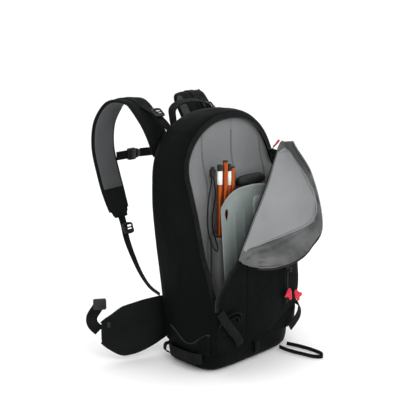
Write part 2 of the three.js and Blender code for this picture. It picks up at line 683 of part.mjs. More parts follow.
// ---- Hip belt -----------------------------------------------------------------------------------
const WING_PATH = [[-118, 82, 84], [-150, 88, 78], [-190, 100, 71], [-226, 117, 68], [-250, 134, 70]];
function hipWing(side) {
  const curve = route(side < 0 ? WING_PATH : mirrored(WING_PATH));
  const rows = [];
  const count = 10;
  for (let i = 0; i <= count; i += 1) {
    const t = i / count;
    const centre = curve.getPointAt(t);
    const half = 50 * (1 - 0.42 * smooth((t - 0.72) / 0.28)) + 12 * Math.sin(Math.PI * t);
    const tangent = curve.getTangentAt(t);
    const normal = vec(tangent.y, -tangent.x, 0).normalize();
    rows.push([-1, -0.55, 0, 0.55, 1].map((share) => {
      const belly = 12 * (1 - share * share) * Math.sin(Math.PI * clamp01(t * 1.05)) * -side;
      return vec(centre.x, centre.y, centre.z + half * share).addScaledVector(normal, belly);
    }));
  }
  return sheet(rows, side * 15);
}
add('hipbelt_wing_left', hipWing(-1), FABRIC);
add('hipbelt_wing_right', hipWing(1), FABRIC);

// The belt's webbing curls up from the tip of each wing and ends in half of the buckle.
const BELT_TIP = [[-262, 147, 88], [-262, 147, 104], [-255, 142, 119]];
const BELT_HALF = [-247, 137, 134];
for (const [word, side] of [['left', -1], ['right', 1]]) {
  add(`hipbelt_webbing_${word}`, strap(side, BELT_TIP, WEB_25, WEB_THICK, [[-0.82, 0.57, 0]], 6), WEBBING);
  add(`hipbelt_buckle_${word}`, oriented(plate(chamfered(30, 26, 4), 7), [0.82, side * 0.57, 0],
    [side * 0.57, -0.82, 0], [side * -BELT_HALF[0], BELT_HALF[1], BELT_HALF[2]]), PLASTIC);
}
slider('hip_pocket_slider', [-246, 108, 92], [-0.57, -0.82, 0], [0, 0, 1]);

export default pack;
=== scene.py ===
"""A ski-touring backpack standing on its base with its tool pocket open: surfaces, cloth and materials."""
import math

import bmesh
import bpy
import numpy as np
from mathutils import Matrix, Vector, bvhtree, kdtree, noise


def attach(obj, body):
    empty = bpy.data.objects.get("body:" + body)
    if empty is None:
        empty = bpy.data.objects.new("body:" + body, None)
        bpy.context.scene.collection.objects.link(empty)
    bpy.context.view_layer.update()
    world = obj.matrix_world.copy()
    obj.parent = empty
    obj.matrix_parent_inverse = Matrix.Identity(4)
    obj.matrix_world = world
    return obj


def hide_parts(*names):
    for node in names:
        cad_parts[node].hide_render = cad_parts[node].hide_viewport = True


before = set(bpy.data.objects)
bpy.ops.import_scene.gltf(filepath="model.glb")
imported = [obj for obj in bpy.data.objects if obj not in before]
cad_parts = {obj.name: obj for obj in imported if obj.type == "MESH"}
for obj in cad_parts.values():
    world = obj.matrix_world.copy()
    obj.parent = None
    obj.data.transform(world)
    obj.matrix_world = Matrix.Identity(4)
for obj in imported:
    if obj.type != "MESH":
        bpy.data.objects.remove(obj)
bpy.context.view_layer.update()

MM = 0.001
REST = "bag"
SIDES = (("left", -1), ("right", 1))

# ---- Finishes ------------------------------------------------------------------------------------


def new_material(name, color, rough, metal=0.0):
    mat = bpy.data.materials.new(name)
    mat.use_nodes = True
    shader = mat.node_tree.nodes["Principled BSDF"]
    shader.inputs["Base Color"].default_value = (*color, 1)
    shader.inputs["Roughness"].default_value = rough
    shader.inputs["Metallic"].default_value = metal
    return mat, mat.node_tree, shader


def add_node(tree, kind, settings=(), inputs=()):
    node = tree.nodes.new(kind)
    for key, value in dict(settings).items():
        setattr(node, key, value)
    for key, value in dict(inputs).items():
        node.inputs[key].default_value = value
    return node


def grain(tree, coords, scale, detail=3.0, stretch=(1, 1, 1)):
    mapping = add_node(tree, "ShaderNodeMapping", inputs={"Scale": stretch})
    tree.links.new(coords, mapping.inputs["Vector"])
    tex = add_node(tree, "ShaderNodeTexNoise", inputs={"Scale": scale, "Detail": detail})
    tree.links.new(mapping.outputs["Vector"], tex.inputs["Vector"])
    return tex.outputs["Fac"]


def weave(tree, coords, pitch, angle=0.0):
    """Two crossed sets of threads, `pitch` metres apart."""
    mapping = add_node(tree, "ShaderNodeMapping", inputs={"Rotation": (0.5, 0.4, angle)})
    tree.links.new(coords, mapping.inputs["Vector"])
    bands = []
    for direction in ("X", "Z"):
        tex = add_node(tree, "ShaderNodeTexWave", {"bands_direction": direction},
                       {"Scale": 0.314 / pitch, "Distortion": 0.4, "Detail": 0.0})
        tree.links.new(mapping.outputs["Vector"], tex.inputs["Vector"])
        bands.append(tex.outputs["Fac"])
    mix = add_node(tree, "ShaderNodeMath", {"operation": "MULTIPLY"})
    tree.links.new(bands[0], mix.inputs[0])
    tree.links.new(bands[1], mix.inputs[1])
    return mix.outputs[0]


def bump_chain(tree, shader, layers):
    """Stacks height fields into the shader's normal. Each layer is (height, strength, distance)."""
    last = None
    for height, strength, distance in layers:
        bump = add_node(tree, "ShaderNodeBump", inputs={"Strength": strength, "Distance": distance})
        tree.links.new(height, bump.inputs["Height"])
        if last is not None:
            tree.links.new(last, bump.inputs["Normal"])
        last = bump.outputs["Normal"]
    tree.links.new(last, shader.inputs["Normal"])


def tint(tree, shader, field, dark, light, low=0.3, high=0.7):
    """Base colour varied between two tones by a field."""
    ramp = add_node(tree, "ShaderNodeValToRGB")
    ramp.color_ramp.elements[0].position = low
    ramp.color_ramp.elements[0].color = (*dark, 1)
    ramp.color_ramp.elements[1].position = high
    ramp.color_ramp.elements[1].color = (*light, 1)
    tree.links.new(field, ramp.inputs["Fac"])
    tree.links.new(ramp.outputs["Color"], shader.inputs["Base Color"])


def rough_range(tree, shader, field, low, high):
    span = add_node(tree, "ShaderNodeMapRange", inputs={"To Min": low, "To Max": high})
    tree.links.new(field, span.inputs["Value"])
    tree.links.new(span.outputs["Result"], shader.inputs["Roughness"])


def cloth_finish(name, dark, light, rough, pitch=0.0011, wrinkle=0.5, weave_strength=0.35, sheen=0.0,
                 wrinkle_scale=22.0, specular=0.06):
    mat, tree, shader = new_material(name, dark, rough)
    coords = add_node(tree, "ShaderNodeTexCoord").outputs["Object"]
    broad = grain(tree, coords, 9.0, 4.0)
    tint(tree, shader, broad, dark, light)
    rough_range(tree, shader, grain(tree, coords, 60.0, 2.0), rough - 0.07, rough + 0.07)
    bump_chain(tree, shader, [
        (grain(tree, coords, wrinkle_scale, 3.0, (1.0, 1.0, 0.55)), wrinkle, 0.006),
        (weave(tree, coords, pitch), weave_strength, 0.0004),
    ])
    shader.inputs["Sheen Weight"].default_value = sheen
    shader.inputs["Sheen Roughness"].default_value = 0.5
    shader.inputs["Specular IOR Level"].default_value = specular
    return mat


def webbing_finish(name, dark, light):
    mat, tree, shader = new_material(name, dark, 0.75)
    coords = add_node(tree, "ShaderNodeTexCoord").outputs["Object"]
    tint(tree, shader, grain(tree, coords, 45.0), dark, light)
    bump_chain(tree, shader, [(weave(tree, coords, 0.0018, 0.8), 0.7, 0.0006)])
    shader.inputs["Specular IOR Level"].default_value = 0.08
    return mat


def plastic_finish(name, color, rough, grain_strength=0.15):
    mat, tree, shader = new_material(name, color, rough)
    coords = add_node(tree, "ShaderNodeTexCoord").outputs["Object"]
    light = tuple(min(1, c * 1.5 + 0.004) for c in color)
    tint(tree, shader, grain(tree, coords, 70.0), color, light)
    rough_range(tree, shader, grain(tree, coords, 120.0), rough - 0.08, rough + 0.12)
    bump_chain(tree, shader, [(grain(tree, coords, 900.0), grain_strength, 0.0002)])
    shader.inputs["Specular IOR Level"].default_value = 0.3
    return mat


def metal_finish(name, dark, light, rough, stretch, metal=0.85):
    """Brushed and anodised metal with fine scratches along one way."""
    mat, tree, shader = new_material(name, dark, rough, metal)
    coords = add_node(tree, "ShaderNodeTexCoord").outputs["Object"]
    tint(tree, shader, grain(tree, coords, 14.0, 3.0), dark, light)
    streaks = grain(tree, coords, 600.0, 2.0, stretch)
    rough_range(tree, shader, streaks, rough - 0.1, rough + 0.14)
    bump_chain(tree, shader, [(streaks, 0.25, 0.0002)])
    return mat


SHELL = cloth_finish("shell_nylon", (0.0026, 0.0035, 0.0034), (0.0048, 0.0059, 0.0056), 0.55, 0.0013, 0.7,
                     specular=0.02)
BASE = cloth_finish("coated_base", (0.0026, 0.0034, 0.0033), (0.0048, 0.0056, 0.0054), 0.5, 0.0022, 0.5, 0.5,
                    specular=0.03)
LINING = cloth_finish("grey_lining", (0.160, 0.163, 0.167), (0.202, 0.205, 0.208), 0.8, 0.0010, 0.55, 0.2)
# A lighter copy of the grey lining: painted light on the flap's inner panel and binding; the pocket wall
# keeps the darker lining grey.
FLAP_LINING_LIT = cloth_finish("flap_lining_grey_painted_light", (0.215, 0.219, 0.224), (0.262, 0.265, 0.269), 0.8, 0.0010,
                           0.55, 0.2)
GUSSET = cloth_finish("grey_gusset", (0.052, 0.053, 0.054), (0.160, 0.161, 0.163), 0.8, 0.0010, 1.0, 0.2,
                      wrinkle_scale=30.0)
PADDING = cloth_finish("padding_black", (0.0055, 0.0064, 0.0064), (0.0092, 0.0102, 0.0099), 0.8, 0.0020, 0.4)
MESH_GREY = cloth_finish("padding_grey", (0.070, 0.072, 0.075), (0.096, 0.098, 0.101), 0.85, 0.0026, 0.3, 0.8)
WEBBING = webbing_finish("webbing_black", (0.0042, 0.0048, 0.0048), (0.0090, 0.0097, 0.0095))
CORD = webbing_finish("cord_black", (0.0045, 0.0048, 0.0052), (0.0105, 0.0110, 0.0115))
THREAD = webbing_finish("thread_dark", (0.016, 0.019, 0.018), (0.028, 0.031, 0.030))
THREAD_GREY = webbing_finish("thread_grey", (0.090, 0.092, 0.096), (0.130, 0.132, 0.136))
ZIP = plastic_finish("zip_black", (0.0040, 0.0043, 0.0046), 0.42)
PLASTIC = plastic_finish("buckle_black", (0.0060, 0.0063, 0.0066), 0.4)
RUBBER = plastic_finish("grip_black", (0.0060, 0.0063, 0.0066), 0.6, 0.5)
FRAME_SHEET = plastic_finish("frame_sheet", (0.030, 0.031, 0.033), 0.5)
RED = plastic_finish("red_pull", (0.48, 0.010, 0.036), 0.55)
WHITE = plastic_finish("white_band", (0.62, 0.62, 0.60), 0.5)
ORANGE = metal_finish("orange_tube", (0.36, 0.064, 0.010), (0.43, 0.088, 0.016), 0.36, (1, 1, 0.05))
# A darker copy of the orange tube finish: painted shade, used on the third probe tube.
ORANGE_PAINTED_SHADE = metal_finish("orange_tube_painted_shade", (0.30, 0.055, 0.015), (0.38, 0.075, 0.020), 0.4, (1, 1, 0.05))
BLADE = metal_finish("blade_alloy", (0.178, 0.210, 0.204), (0.232, 0.266, 0.257), 0.6, (0.06, 1, 1), 0.15)
ALLOY = metal_finish("shaft_alloy", (0.200, 0.215, 0.215), (0.280, 0.295, 0.290), 0.34, (1, 1, 0.06))

# ---- Shape helpers, in millimetres ---------------------------------------------------------------


def vec(*p):
    return np.array(p, float)


def unit(v):
    length = np.linalg.norm(v)
    return v / length if length > 1e-9 else v


def clamp01(t):
    return min(1.0, max(0.0, t))


def smooth(t):
    return clamp01(t) ** 2 * (3 - 2 * clamp01(t))


def wave(x, y, z, size, seed=0.0):
    """Smooth noise from -1 to 1 with lumps about `size` mm across."""
    return noise.noise(Vector((x / size + seed, y / size - seed, z / size + 2 * seed)))


def show(name, points, faces, look, body, replaces=(), slot=None, soft=True):
    mesh = bpy.data.meshes.new(name)
    mesh.from_pydata([Vector(p) * MM for p in points], [], [tuple(f) for f in faces])
    mesh.materials.append(look)
    mesh.validate()
    if soft:
        mesh.polygons.foreach_set("use_smooth", [True] * len(mesh.polygons))
    obj = bpy.data.objects.new(name, mesh)
    bpy.context.collection.objects.link(obj)
    work = bmesh.new()
    work.from_mesh(mesh)
    bmesh.ops.recalc_face_normals(work, faces=work.faces)
    work.to_mesh(mesh)
    work.free()
    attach(obj, body)
    if replaces:
        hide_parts(*replaces)
    return obj


def web(name, points, width, thick, across, steps, edge=0.2, body=REST, node=None):
    """A piece of flat webbing, standing for a CAD node where one is named."""
    shape = ribbon(points, width, thick, across, steps, edge)
    return show(name, *shape, WEBBING, body, [node] if node else (), "webbing" if node else None)


def moulded(name, shape, body, node, look=None):
    """A fitting that stands for a CAD node, moulded in black plastic unless another look is given."""
    return show(name, *shape, look or PLASTIC, body, [node], "black_plastic")


def sewn(name, lines, body=REST, look=None):
    """Rows of thread along several lines, as one piece."""
    return show(name, *joined([stitches(line) for line in lines]), look or THREAD, body)


def grid_faces(rows, columns, start=0, closed=False):
    faces = []
    last = columns if closed else columns - 1
    for r in range(rows - 1):
        for c in range(last):
            d = (c + 1) % columns
            faces.append((start + r * columns + c, start + r * columns + d,
                          start + (r + 1) * columns + d, start + (r + 1) * columns + c))
    return faces


def thick_sheet(rows, thickness):
    """Points and faces of a sheet with the given rows as its outer face and a rounded-over edge."""
    grid = np.array(rows, float)
    count_r, count_c = grid.shape[:2]
    along_row = np.gradient(grid, axis=1)
    across = np.gradient(grid, axis=0)
    normal = np.cross(along_row, across)
    normal /= np.maximum(np.linalg.norm(normal, axis=2, keepdims=True), 1e-9)
    inner = grid + normal * thickness
    points = [*grid.reshape(-1, 3), *inner.reshape(-1, 3)]
    size = count_r * count_c
    faces = grid_faces(count_r, count_c) + [f[::-1] for f in grid_faces(count_r, count_c, size)]
    rim = ([c for c in range(count_c - 1)] + [r * count_c + count_c - 1 for r in range(count_r - 1)]
           + [(count_r - 1) * count_c + c for c in range(count_c - 1, 0, -1)]
           + [r * count_c for r in range(count_r - 1, 0, -1)])
    mids = []
    for a in rim:
        r, c = divmod(a, count_c)
        outward = unit((grid[r, c] - grid[min(max(r, 1), count_r - 2), min(max(c, 1), count_c - 2)]))
        mids.append(grid[r, c] + normal[r, c] * thickness / 2 + outward * abs(thickness) * 0.35)
    base = len(points)
    points += mids
    for i, a in enumerate(rim):
        j = (i + 1) % len(rim)
        b = rim[j]
        faces.append((a, base + i, base + j, b))
        faces.append((base + i, a + size, b + size, base + j))
    return points, faces


def curve(points, steps):
    """Evenly spaced points on a centripetal spline through `points`, and the tangents there."""
    pts = [vec(*p) for p in points]
    ext = [2 * pts[0] - pts[1], *pts, 2 * pts[-1] - pts[-2]]
    dense = []
    for p0, p1, p2, p3 in zip(ext, ext[1:], ext[2:], ext[3:]):
        d0, d1, d2 = (max(1e-4, np.linalg.norm(b - a)) ** 0.5 for a, b in ((p0, p1), (p1, p2), (p2, p3)))
        m1 = ((p1 - p0) / d0 - (p2 - p0) / (d0 + d1) + (p2 - p1) / d1) * d1
        m2 = ((p2 - p1) / d1 - (p3 - p1) / (d1 + d2) + (p3 - p2) / d2) * d1
        for k in range(16):
            t = k / 16
            dense.append((2 * t**3 - 3 * t**2 + 1) * p1 + (t**3 - 2 * t**2 + t) * m1
                         + (3 * t**2 - 2 * t**3) * p2 + (t**3 - t**2) * m2)
    dense.append(pts[-1])
    dense = np.array(dense)
    lengths = np.concatenate([[0], np.cumsum(np.linalg.norm(np.diff(dense, axis=0), axis=1))])
    at = np.linspace(0, lengths[-1], steps + 1)
    even = np.stack([np.interp(at, lengths, dense[:, k]) for k in range(3)], axis=1)
    tangents = np.gradient(even, axis=0)
    tangents /= np.linalg.norm(tangents, axis=1, keepdims=True)
    return even, tangents


def sweep(centres, sides, normals, section):
    """A closed section of (side, normal) pairs carried along, capped at both ends."""
    size = len(section)
    points = [c + s * a + n * b for c, s, n in zip(centres, sides, normals) for a, b in section]
    faces = grid_faces(len(centres), size, closed=True)
    last = (len(centres) - 1) * size
    faces.append(tuple(range(size))[::-1])
    faces.append(tuple(range(last, last + size)))
    return points, faces


def ribbon(points, width, thickness, across, steps, edge=0.0):
    """Flat webbing with rounded edges; `edge` raises its two selvedges a little."""
    centres, tangents = curve(points, steps)
    first, last = unit(vec(*across[0])), unit(vec(*across[-1]))
    sides, normals = [], []
    for i, tangent in enumerate(tangents):
        side = first + (last - first) * (i / steps)
        side = unit(side - tangent * side.dot(tangent))
        sides.append(side)
        normals.append(unit(np.cross(side, tangent)))
    w, t = width / 2, thickness / 2
    section = [(-w, 0), (-w + 0.5, t), (-w + 2.4, t + edge), (-w + 3.4, t), (w - 3.4, t), (w - 2.4, t + edge),
               (w - 0.5, t), (w, 0), (w - 0.5, -t), (w - 3.4, -t), (-w + 3.4, -t), (-w + 0.5, -t)]
    return sweep(centres, sides, normals, section)


def tube(points, radius, steps, sides=10, swell=None):
    """A round cord or bar along a route, with a frame carried along it so that it never twists."""
    centres, tangents = curve(points, steps)
    side = unit(np.cross(tangents[0], vec(0.31, 0.22, 0.93)))
    section = [(math.cos(a), math.sin(a)) for a in np.linspace(0, 2 * math.pi, sides, endpoint=False)]
    pts = []
    for i, (centre, tangent) in enumerate(zip(centres, tangents)):
        side = unit(side - tangent * side.dot(tangent))
        up = np.cross(tangent, side)
        r = radius * (swell(i / steps) if swell else 1)
        pts += [centre + (side * a + up * b) * r for a, b in section]
    faces = grid_faces(len(centres), sides, closed=True)
    last = (len(centres) - 1) * sides
    return pts, [*faces, tuple(range(sides))[::-1], tuple(range(last, last + sides))]


def joined(parts):
    points, faces = [], []
    for p, f in parts:
        start = len(points)
        points += list(p)
        faces += [tuple(start + i for i in face) for face in f]
    return points, faces


def stitches(points, length=3.2, gap=1.7, radius=0.42):
    """A row of short raised threads along a route."""
    total = np.sum(np.linalg.norm(np.diff(np.array(points, float), axis=0), axis=1))
    steps = max(2, int(total / 0.8))
    path, _ = curve(points, steps)
    pitch = length + gap
    span = total / steps
    parts = []
    for k in range(int(total / pitch)):
        a = min(steps, int(round(k * pitch / span)))
        b = min(steps, int(round((k * pitch + length) / span)))
        if b > a:
            parts.append(thread(path[a], path[b], radius))
    return joined(parts)


def thread(a, b, radius):
    along = unit(b - a)
    side = unit(np.cross(along, vec(0.3, 0.5, 0.81)))
    up = np.cross(along, side)
    pts = [a - along * radius * 0.6, b + along * radius * 0.6]
    for end in (a, b):
        pts += [end + (side * c + up * s) * radius for c, s in ((1, 0), (0, 1), (-1, 0), (0, -1))]
    faces = []
    for i in range(4):
        j = (i + 1) % 4
        faces += [(0, 2 + j, 2 + i), (1, 6 + i, 6 + j), (2 + i, 2 + j, 6 + j, 6 + i)]
    return pts, faces


def block(origin, x_way, z_way, outline, depth, bevel=0.6):
    """A moulded plate: an outline extruded along z_way with its edges broken."""
    z = unit(vec(*z_way))
    x = vec(*x_way)
    x = unit(x - z * x.dot(z))
    y = np.cross(z, x)
    flat = np.array(outline, float)
    middle = flat.mean(axis=0)
    reach = np.maximum(1, np.linalg.norm(flat - middle, axis=1))
    shrunk = middle + (flat - middle) * (1 - bevel / reach)[:, None]
    levels = [(shrunk, 0), (flat, bevel), (flat, depth - bevel), (shrunk, depth)]
    pts = [vec(*origin) + x * u + y * v + z * h for ring, h in levels for u, v in ring]
    size = len(flat)
    faces = grid_faces(4, size, closed=True)
    return pts, [*faces, tuple(range(size))[::-1], tuple(range(3 * size, 4 * size))]


def ellipse_ring(half_x, half_y, cx, cy, z, power, count):
    ring = []
    for a in np.linspace(0, 2 * math.pi, count, endpoint=False):
        c, s = math.cos(a), math.sin(a)
        ring.append(vec(cx + half_x * math.copysign(abs(c) ** (2 / power), c),
                        cy + half_y * math.copysign(abs(s) ** (2 / power), s), z))
    return ring


def rings(levels):
    """A skin over rings of equal count, closed at both ends."""
    size = len(levels[0])
    pts = [p for ring in levels for p in ring]
    last = (len(levels) - 1) * size
    faces = grid_faces(len(levels), size, closed=True)
    return pts, [*faces, tuple(range(size))[::-1], tuple(range(last, last + size))]


def lathe(place, profile, count=20):
    return rings([[vec(place[0] + r * math.cos(a), place[1] + r * math.sin(a), place[2] + h)
                   for a in np.linspace(0, 2 * math.pi, count, endpoint=False)] for r, h in profile])

# ---- The bag's shape: the same profile as the fixed frame ----------------------------------------
BOOT_TOP, SHOULDER_Z, ARCH_RISE, SHOULDER_HALF, ARCH_POWER = 50, 400, 152, 150, 2.2
SKIN, BACK_ROUND, LINING_Y = 3, 36, -34
TOOL_Y = -54
BODY_PROFILE = [
    (0, 132, -98, 50), (50, 138, -102, 56), (120, 142, -107, 60), (157, 145, -108, 62),
    (212, 149, -98, 66), (262, 152, -82, 71), (343, 153, -62, 80), (389, 151, -46, 83),
    (434, 148, -29, 84), (470, 140, -22, 84), (560, 120, -20, 80),
]
HINGE_TOP = vec(96, -74, 462)
HINGE_LOW = vec(-75, -124, 255)
FLAP_OUT = unit(vec(0.724, -0.24, -0.646))


def profile(column, z):
    t = BODY_PROFILE
    i = 0
    while i < len(t) - 2 and z > t[i + 1][0]:
        i += 1

    def at(k):
        return t[min(len(t) - 1, max(0, k))]
    low, high = at(i), at(i + 1)
    span = high[0] - low[0]

    def slope(a, b):
        return 0 if a[0] == b[0] else (b[column] - a[column]) / (b[0] - a[0])
    u = clamp01((z - low[0]) / span)
    m0, m1 = slope(at(i - 1), high) * span, slope(low, at(i + 2)) * span
    return ((2 * u**3 - 3 * u**2 + 1) * low[column] + (u**3 - 2 * u**2 + u) * m0
            + (3 * u**2 - 2 * u**3) * high[column] + (u**3 - u**2) * m1)


def rim_y(z):
    return profile(2, z)


def back_y(z):
    return profile(3, z)


def half_width(z):
    if z <= SHOULDER_Z:
        return profile(1, z)
    return SHOULDER_HALF * (1 - clamp01((z - SHOULDER_Z) / ARCH_RISE) ** ARCH_POWER) ** (1 / ARCH_POWER)


def arch_point(t):
    share, low = 0.31, BOOT_TOP + 0.6
    if t <= share:
        z = low + (SHOULDER_Z - low) * (t / share)
        return -half_width(z), z
    if t >= 1 - share:
        x, z = arch_point(1 - t)
        return -x, z
    a = math.pi * (1 - (t - share) / (1 - 2 * share))
    c = math.cos(a)
    return (SHOULDER_HALF * math.copysign(abs(c) ** (2 / ARCH_POWER), c),
            SHOULDER_Z + ARCH_RISE * math.sin(a) ** (2 / ARCH_POWER))


def arch_inset(t, inset, y):
    x, z = arch_point(t)
    x0, z0 = arch_point(max(0, t - 0.004))
    x1, z1 = arch_point(min(1, t + 0.004))
    length = math.hypot(x1 - x0, z1 - z0)
    return vec(x + inset * (z1 - z0) / length, y, z - inset * (x1 - x0) / length)


# ---- Shell ---------------------------------------------------------------------------------------
# Places on the arch where panels meet, and how far each panel's cloth is pulled in along its seams.
PANEL_SEAMS = (0.4, 0.6)
DEPTH_STEPS = ((0.0, 4), (0.05, 0.6), (0.12, -1.5), (0.25, -2.6), (0.4, -3), (0.55, -2.8), (0.7, -2.2),
               (0.84, -1.2), (1.0, 0))


def shell_row(t):
    z = arch_point(t)[1]
    front, back = rim_y(z), back_y(z)
    depth = back - BACK_ROUND - front
    seam = min(abs(t - s) for s in PANEL_SEAMS)
    pinch = 1.6 * math.exp(-((seam / 0.0045) ** 2))
    row = []
    for share, out in DEPTH_STEPS:
        y = front + share * depth
        x, zz = arch_point(t)
        slack = math.sin(math.pi * clamp01(share))
        fold = (3.0 * wave(x, y * 1.7, zz * 0.75, 62, 3.1) + 1.4 * wave(x, y, zz * 0.6, 24, 8.4)) * slack
        row.append(arch_inset(t, out + pinch + fold, y))
    for a in (20, 40, 60, 80, 90):
        angle = math.radians(a)
        inset = BACK_ROUND * (1 - math.cos(angle))
        row.append(arch_inset(t, inset + pinch, back - BACK_ROUND * (1 - math.sin(angle))))
    return row


def shell(low, high, steps):
    return thick_sheet([shell_row(low + (high - low) * i / steps) for i in range(steps + 1)], -SKIN * 0.8)


show("shell_body", *shell(0.0, 1.0, 190), SHELL, REST,
     ["side_panel_left", "top_panel", "side_panel_right"], "pack_fabric")


def arch_line(t0, t1, inset, y_of, steps=60, lift=0.0):
    line = []
    for i in range(steps + 1):
        t = t0 + (t1 - t0) * i / steps
        z = arch_point(t)[1]
        line.append(arch_inset(t, inset, y_of(z)) + vec(0, lift, 0))
    return line


def body_trim():
    """Piped seams round the back edge, and double stitching at the panel seams."""
    threads = []
    edge = arch_line(0.0, 1.0, 6, lambda z: back_y(z) - 16, 120)
    for seam in PANEL_SEAMS:
        z = arch_point(seam)[1]
        depth = back_y(z) - BACK_ROUND - rim_y(z)
        for step in (-0.006, 0.006):
            run = [arch_inset(seam + step, out - 0.5, rim_y(z) + share * depth)
                   for share, out in DEPTH_STEPS[1:]]
            threads.append(run)
    rim_seam = [arch_line(a, b, -0.3, lambda z: rim_y(z) + 11, 40) for a, b in ((0.09, 0.4), (0.4, 0.67))]
    show("body_piping", *tube(edge, 2.1, 240, 8), WEBBING, REST)
    sewn("body_stitching", threads + rim_seam)


body_trim()


def boot():
    front, back = rim_y(BOOT_TOP) - 4, back_y(BOOT_TOP)
    half = profile(1, BOOT_TOP) + 1

    def ring(inset, z, dip=0.0):
        pts = ellipse_ring(half - inset, (back - front) / 2 - inset, 0, (front + back) / 2, z, 5, 120)
        if dip:
            for p in pts:
                p[2] += dip * (0.5 + 0.5 * wave(p[0], p[1], 0, 40, 2.0))
        return pts
    levels = [(24, 0), (15, 0.8), (8, 4), (3.6, 10), (1.4, 18), (0.2, 27), (-0.4, 34), (0, 44), (0.4, 49),
              (1.4, 50), (3, 49.4), (5, 40), (6, 10)]
    return rings([ring(a, z) for a, z in levels])


show("boot_shell", *boot(), BASE, REST, ["base_boot"], "coated_fabric")


def boot_wing(side):
    """The reinforced side panel above the base, its top edge curving up towards the front."""
    rows = []
    for i in range(41):
        u = i / 40
        top = 60 + 34 * smooth((0.5 - u) / 0.5) + 28 * smooth((u - 0.55) / 0.45)
        row = []
        for j in range(9):
            z = 44 + (top - 44) * j / 8
            front, back = rim_y(z), back_y(z) - BACK_ROUND
            y = front + 3 + (back - front - 3) * u
            out = 4 * math.sin(math.pi * clamp01(u)) + 2.4 - 1.2 * smooth((j - 6) / 2)
            row.append(vec(side * (half_width(z) + out), y, z))
        rows.append(row)
    return rows


for word, side in SIDES:
    rows = boot_wing(side)
    show(f"boot_wing_{word}", *thick_sheet(rows, 1.6 * side), BASE, REST)
    # A binding along the wing's top edge in a lighter thread colour: a real binding, its lighter colour a
    # painted highlight along the edge.
    top_edge = [r[-1] + vec(side * 0.3, 0, 0) for r in rows][::3]
    show(f"boot_wing_binding_painted_highlight_{word}", *tube(top_edge, 1.5, 120, 8), THREAD, REST)
    edge = [r[-1] + vec(side * 0.5, 0, -2.4) for r in rows]
    edge_2 = [r[-1] + vec(side * 0.5, 0, -5.0) for r in rows]
    sewn(f"boot_wing_stitching_{word}", [edge, edge_2])


# ---- Opening: lining, zip and its teeth ----------------------------------------------------------
CHANNELS = (-78, 14, 108)


def lining_point(x_share, z):
    half = half_width(z + 5) - 9
    edge = rim_y(z) + 5
    middle = max(edge, LINING_Y + 14 * smooth((z - 370) / 120))
    x = half * x_share
    y = edge + (middle - edge) * (1 - abs(x_share) ** 5)
    groove = sum(math.exp(-(((x - c) / 3.2) ** 2)) for c in CHANNELS)
    slack = (1 - abs(x_share) ** 4) * smooth((z - 70) / 60)
    puff = 2.0 * wave(x * 1.4, 5, z * 0.55, 55, 1.7) + 0.9 * wave(x * 2, 9, z * 0.8, 26, 4.2)
    return vec(x, y + (2.2 * min(1, groove) + puff - 1.2) * slack, z)


def lining():
    rows = []
    low, top = BOOT_TOP + 6, SHOULDER_Z + ARCH_RISE - 8
    for r in range(111):
        z = low + (top - low) * (r / 110) ** 0.9
        rows.append([lining_point(c / 60 - 1, z) for c in range(121)])
    return rows


show("lining_wall", *thick_sheet(lining(), -1.2), LINING, REST, ["tool_pocket_lining"], "lining")
channel_lines = []
for channel in CHANNELS:
    for dx in (-1.4, 1.4):
        run = []
        for i in range(30):
            z = 210 + 305 * i / 29
            share = (channel + dx) / (half_width(z + 5) - 9)
            if abs(share) < 0.93:
                run.append(lining_point(share, z) + vec(0, -0.5, 0))
        channel_lines.append(run)
sewn("lining_stitching", channel_lines, look=THREAD_GREY)

RIM_START, RIM_END, RIM_LIFT = 0.085, 0.672, 2.6


def rim_tape():
    rows = []
    for i in range(161):
        t = RIM_START + (RIM_END - RIM_START) * i / 160
        z = arch_point(t)[1]
        y = rim_y(z) - RIM_LIFT
        rows.append([arch_inset(t, 1.5 + 2.4 * k, y + 1.2 - 2.2 * math.sin(0.45 * k)) for k in range(6)])
    return rows


TOOTH = [(-0.75, -1.9), (0.75, -1.9), (0.75, 1.9), (-0.75, 1.9)]


def teeth(line, inward, pitch=2.3):
    """Small coil teeth along a line; `inward` gives the way each lies from the line's own direction."""
    total = np.sum(np.linalg.norm(np.diff(np.array(line), axis=0), axis=1))
    path, tangents = curve(line, int(total / pitch))
    parts = []
    for p, t in zip(path, tangents):
        up = unit(np.cross(t, unit(inward(t))))
        parts.append(block(p - up * 0.7, t, up, TOOTH, 1.6, 0.3))
    return joined(parts)


def flat_teeth(line, pitch=2.3):
    """Teeth lying across a line in the plane of the front."""
    return teeth(line, lambda t: np.cross(t, vec(0, 1, 0)), pitch)


show("rim_zip_tape", *thick_sheet(rim_tape(), 1.2), WEBBING, REST, ["tool_pocket_zip_tape"], "webbing")
rim_line = arch_line(RIM_START + 0.002, RIM_END - 0.002, 12.5, lambda z: rim_y(z) - RIM_LIFT - 1.2, 90)
show("rim_zip_teeth", *flat_teeth(rim_line), ZIP, REST)


# ---- Front pocket panel --------------------------------------------------------------------------
PANEL_X = (-118, -96, -72, -40, 0, 40, 80, 112, 134, 146, 149)
PANEL_WRAP = (0, 0, 0, 0, 0, 0, 0, 0.04, 0.25, 0.7, 1)
PANEL_FRONT_Y, PANEL_BOTTOM, PANEL_TOP = -113, BOOT_TOP + 3, 408


def hinge_z(x):
    return HINGE_TOP[2] + (HINGE_LOW[2] - HINGE_TOP[2]) * (x - HINGE_TOP[0]) / (HINGE_LOW[0] - HINGE_TOP[0])


def column_at(table, u):
    return float(np.interp(u, range(len(table)), table))


def panel_top(u):
    if u < 2:
        return float(np.interp(u, (0, 0.35, 0.8, 1.4, 2), (176, 207, 229, 241, 251)))
    return min(PANEL_TOP, hinge_z(max(column_at(PANEL_X, u), HINGE_LOW[0])) - 8)


def pocket_edge(x):
    """Height of the pocket's lower seam."""
    return 60 + 36 * smooth((x - 20) / 100) + 26 * smooth((-48 - x) / 40)


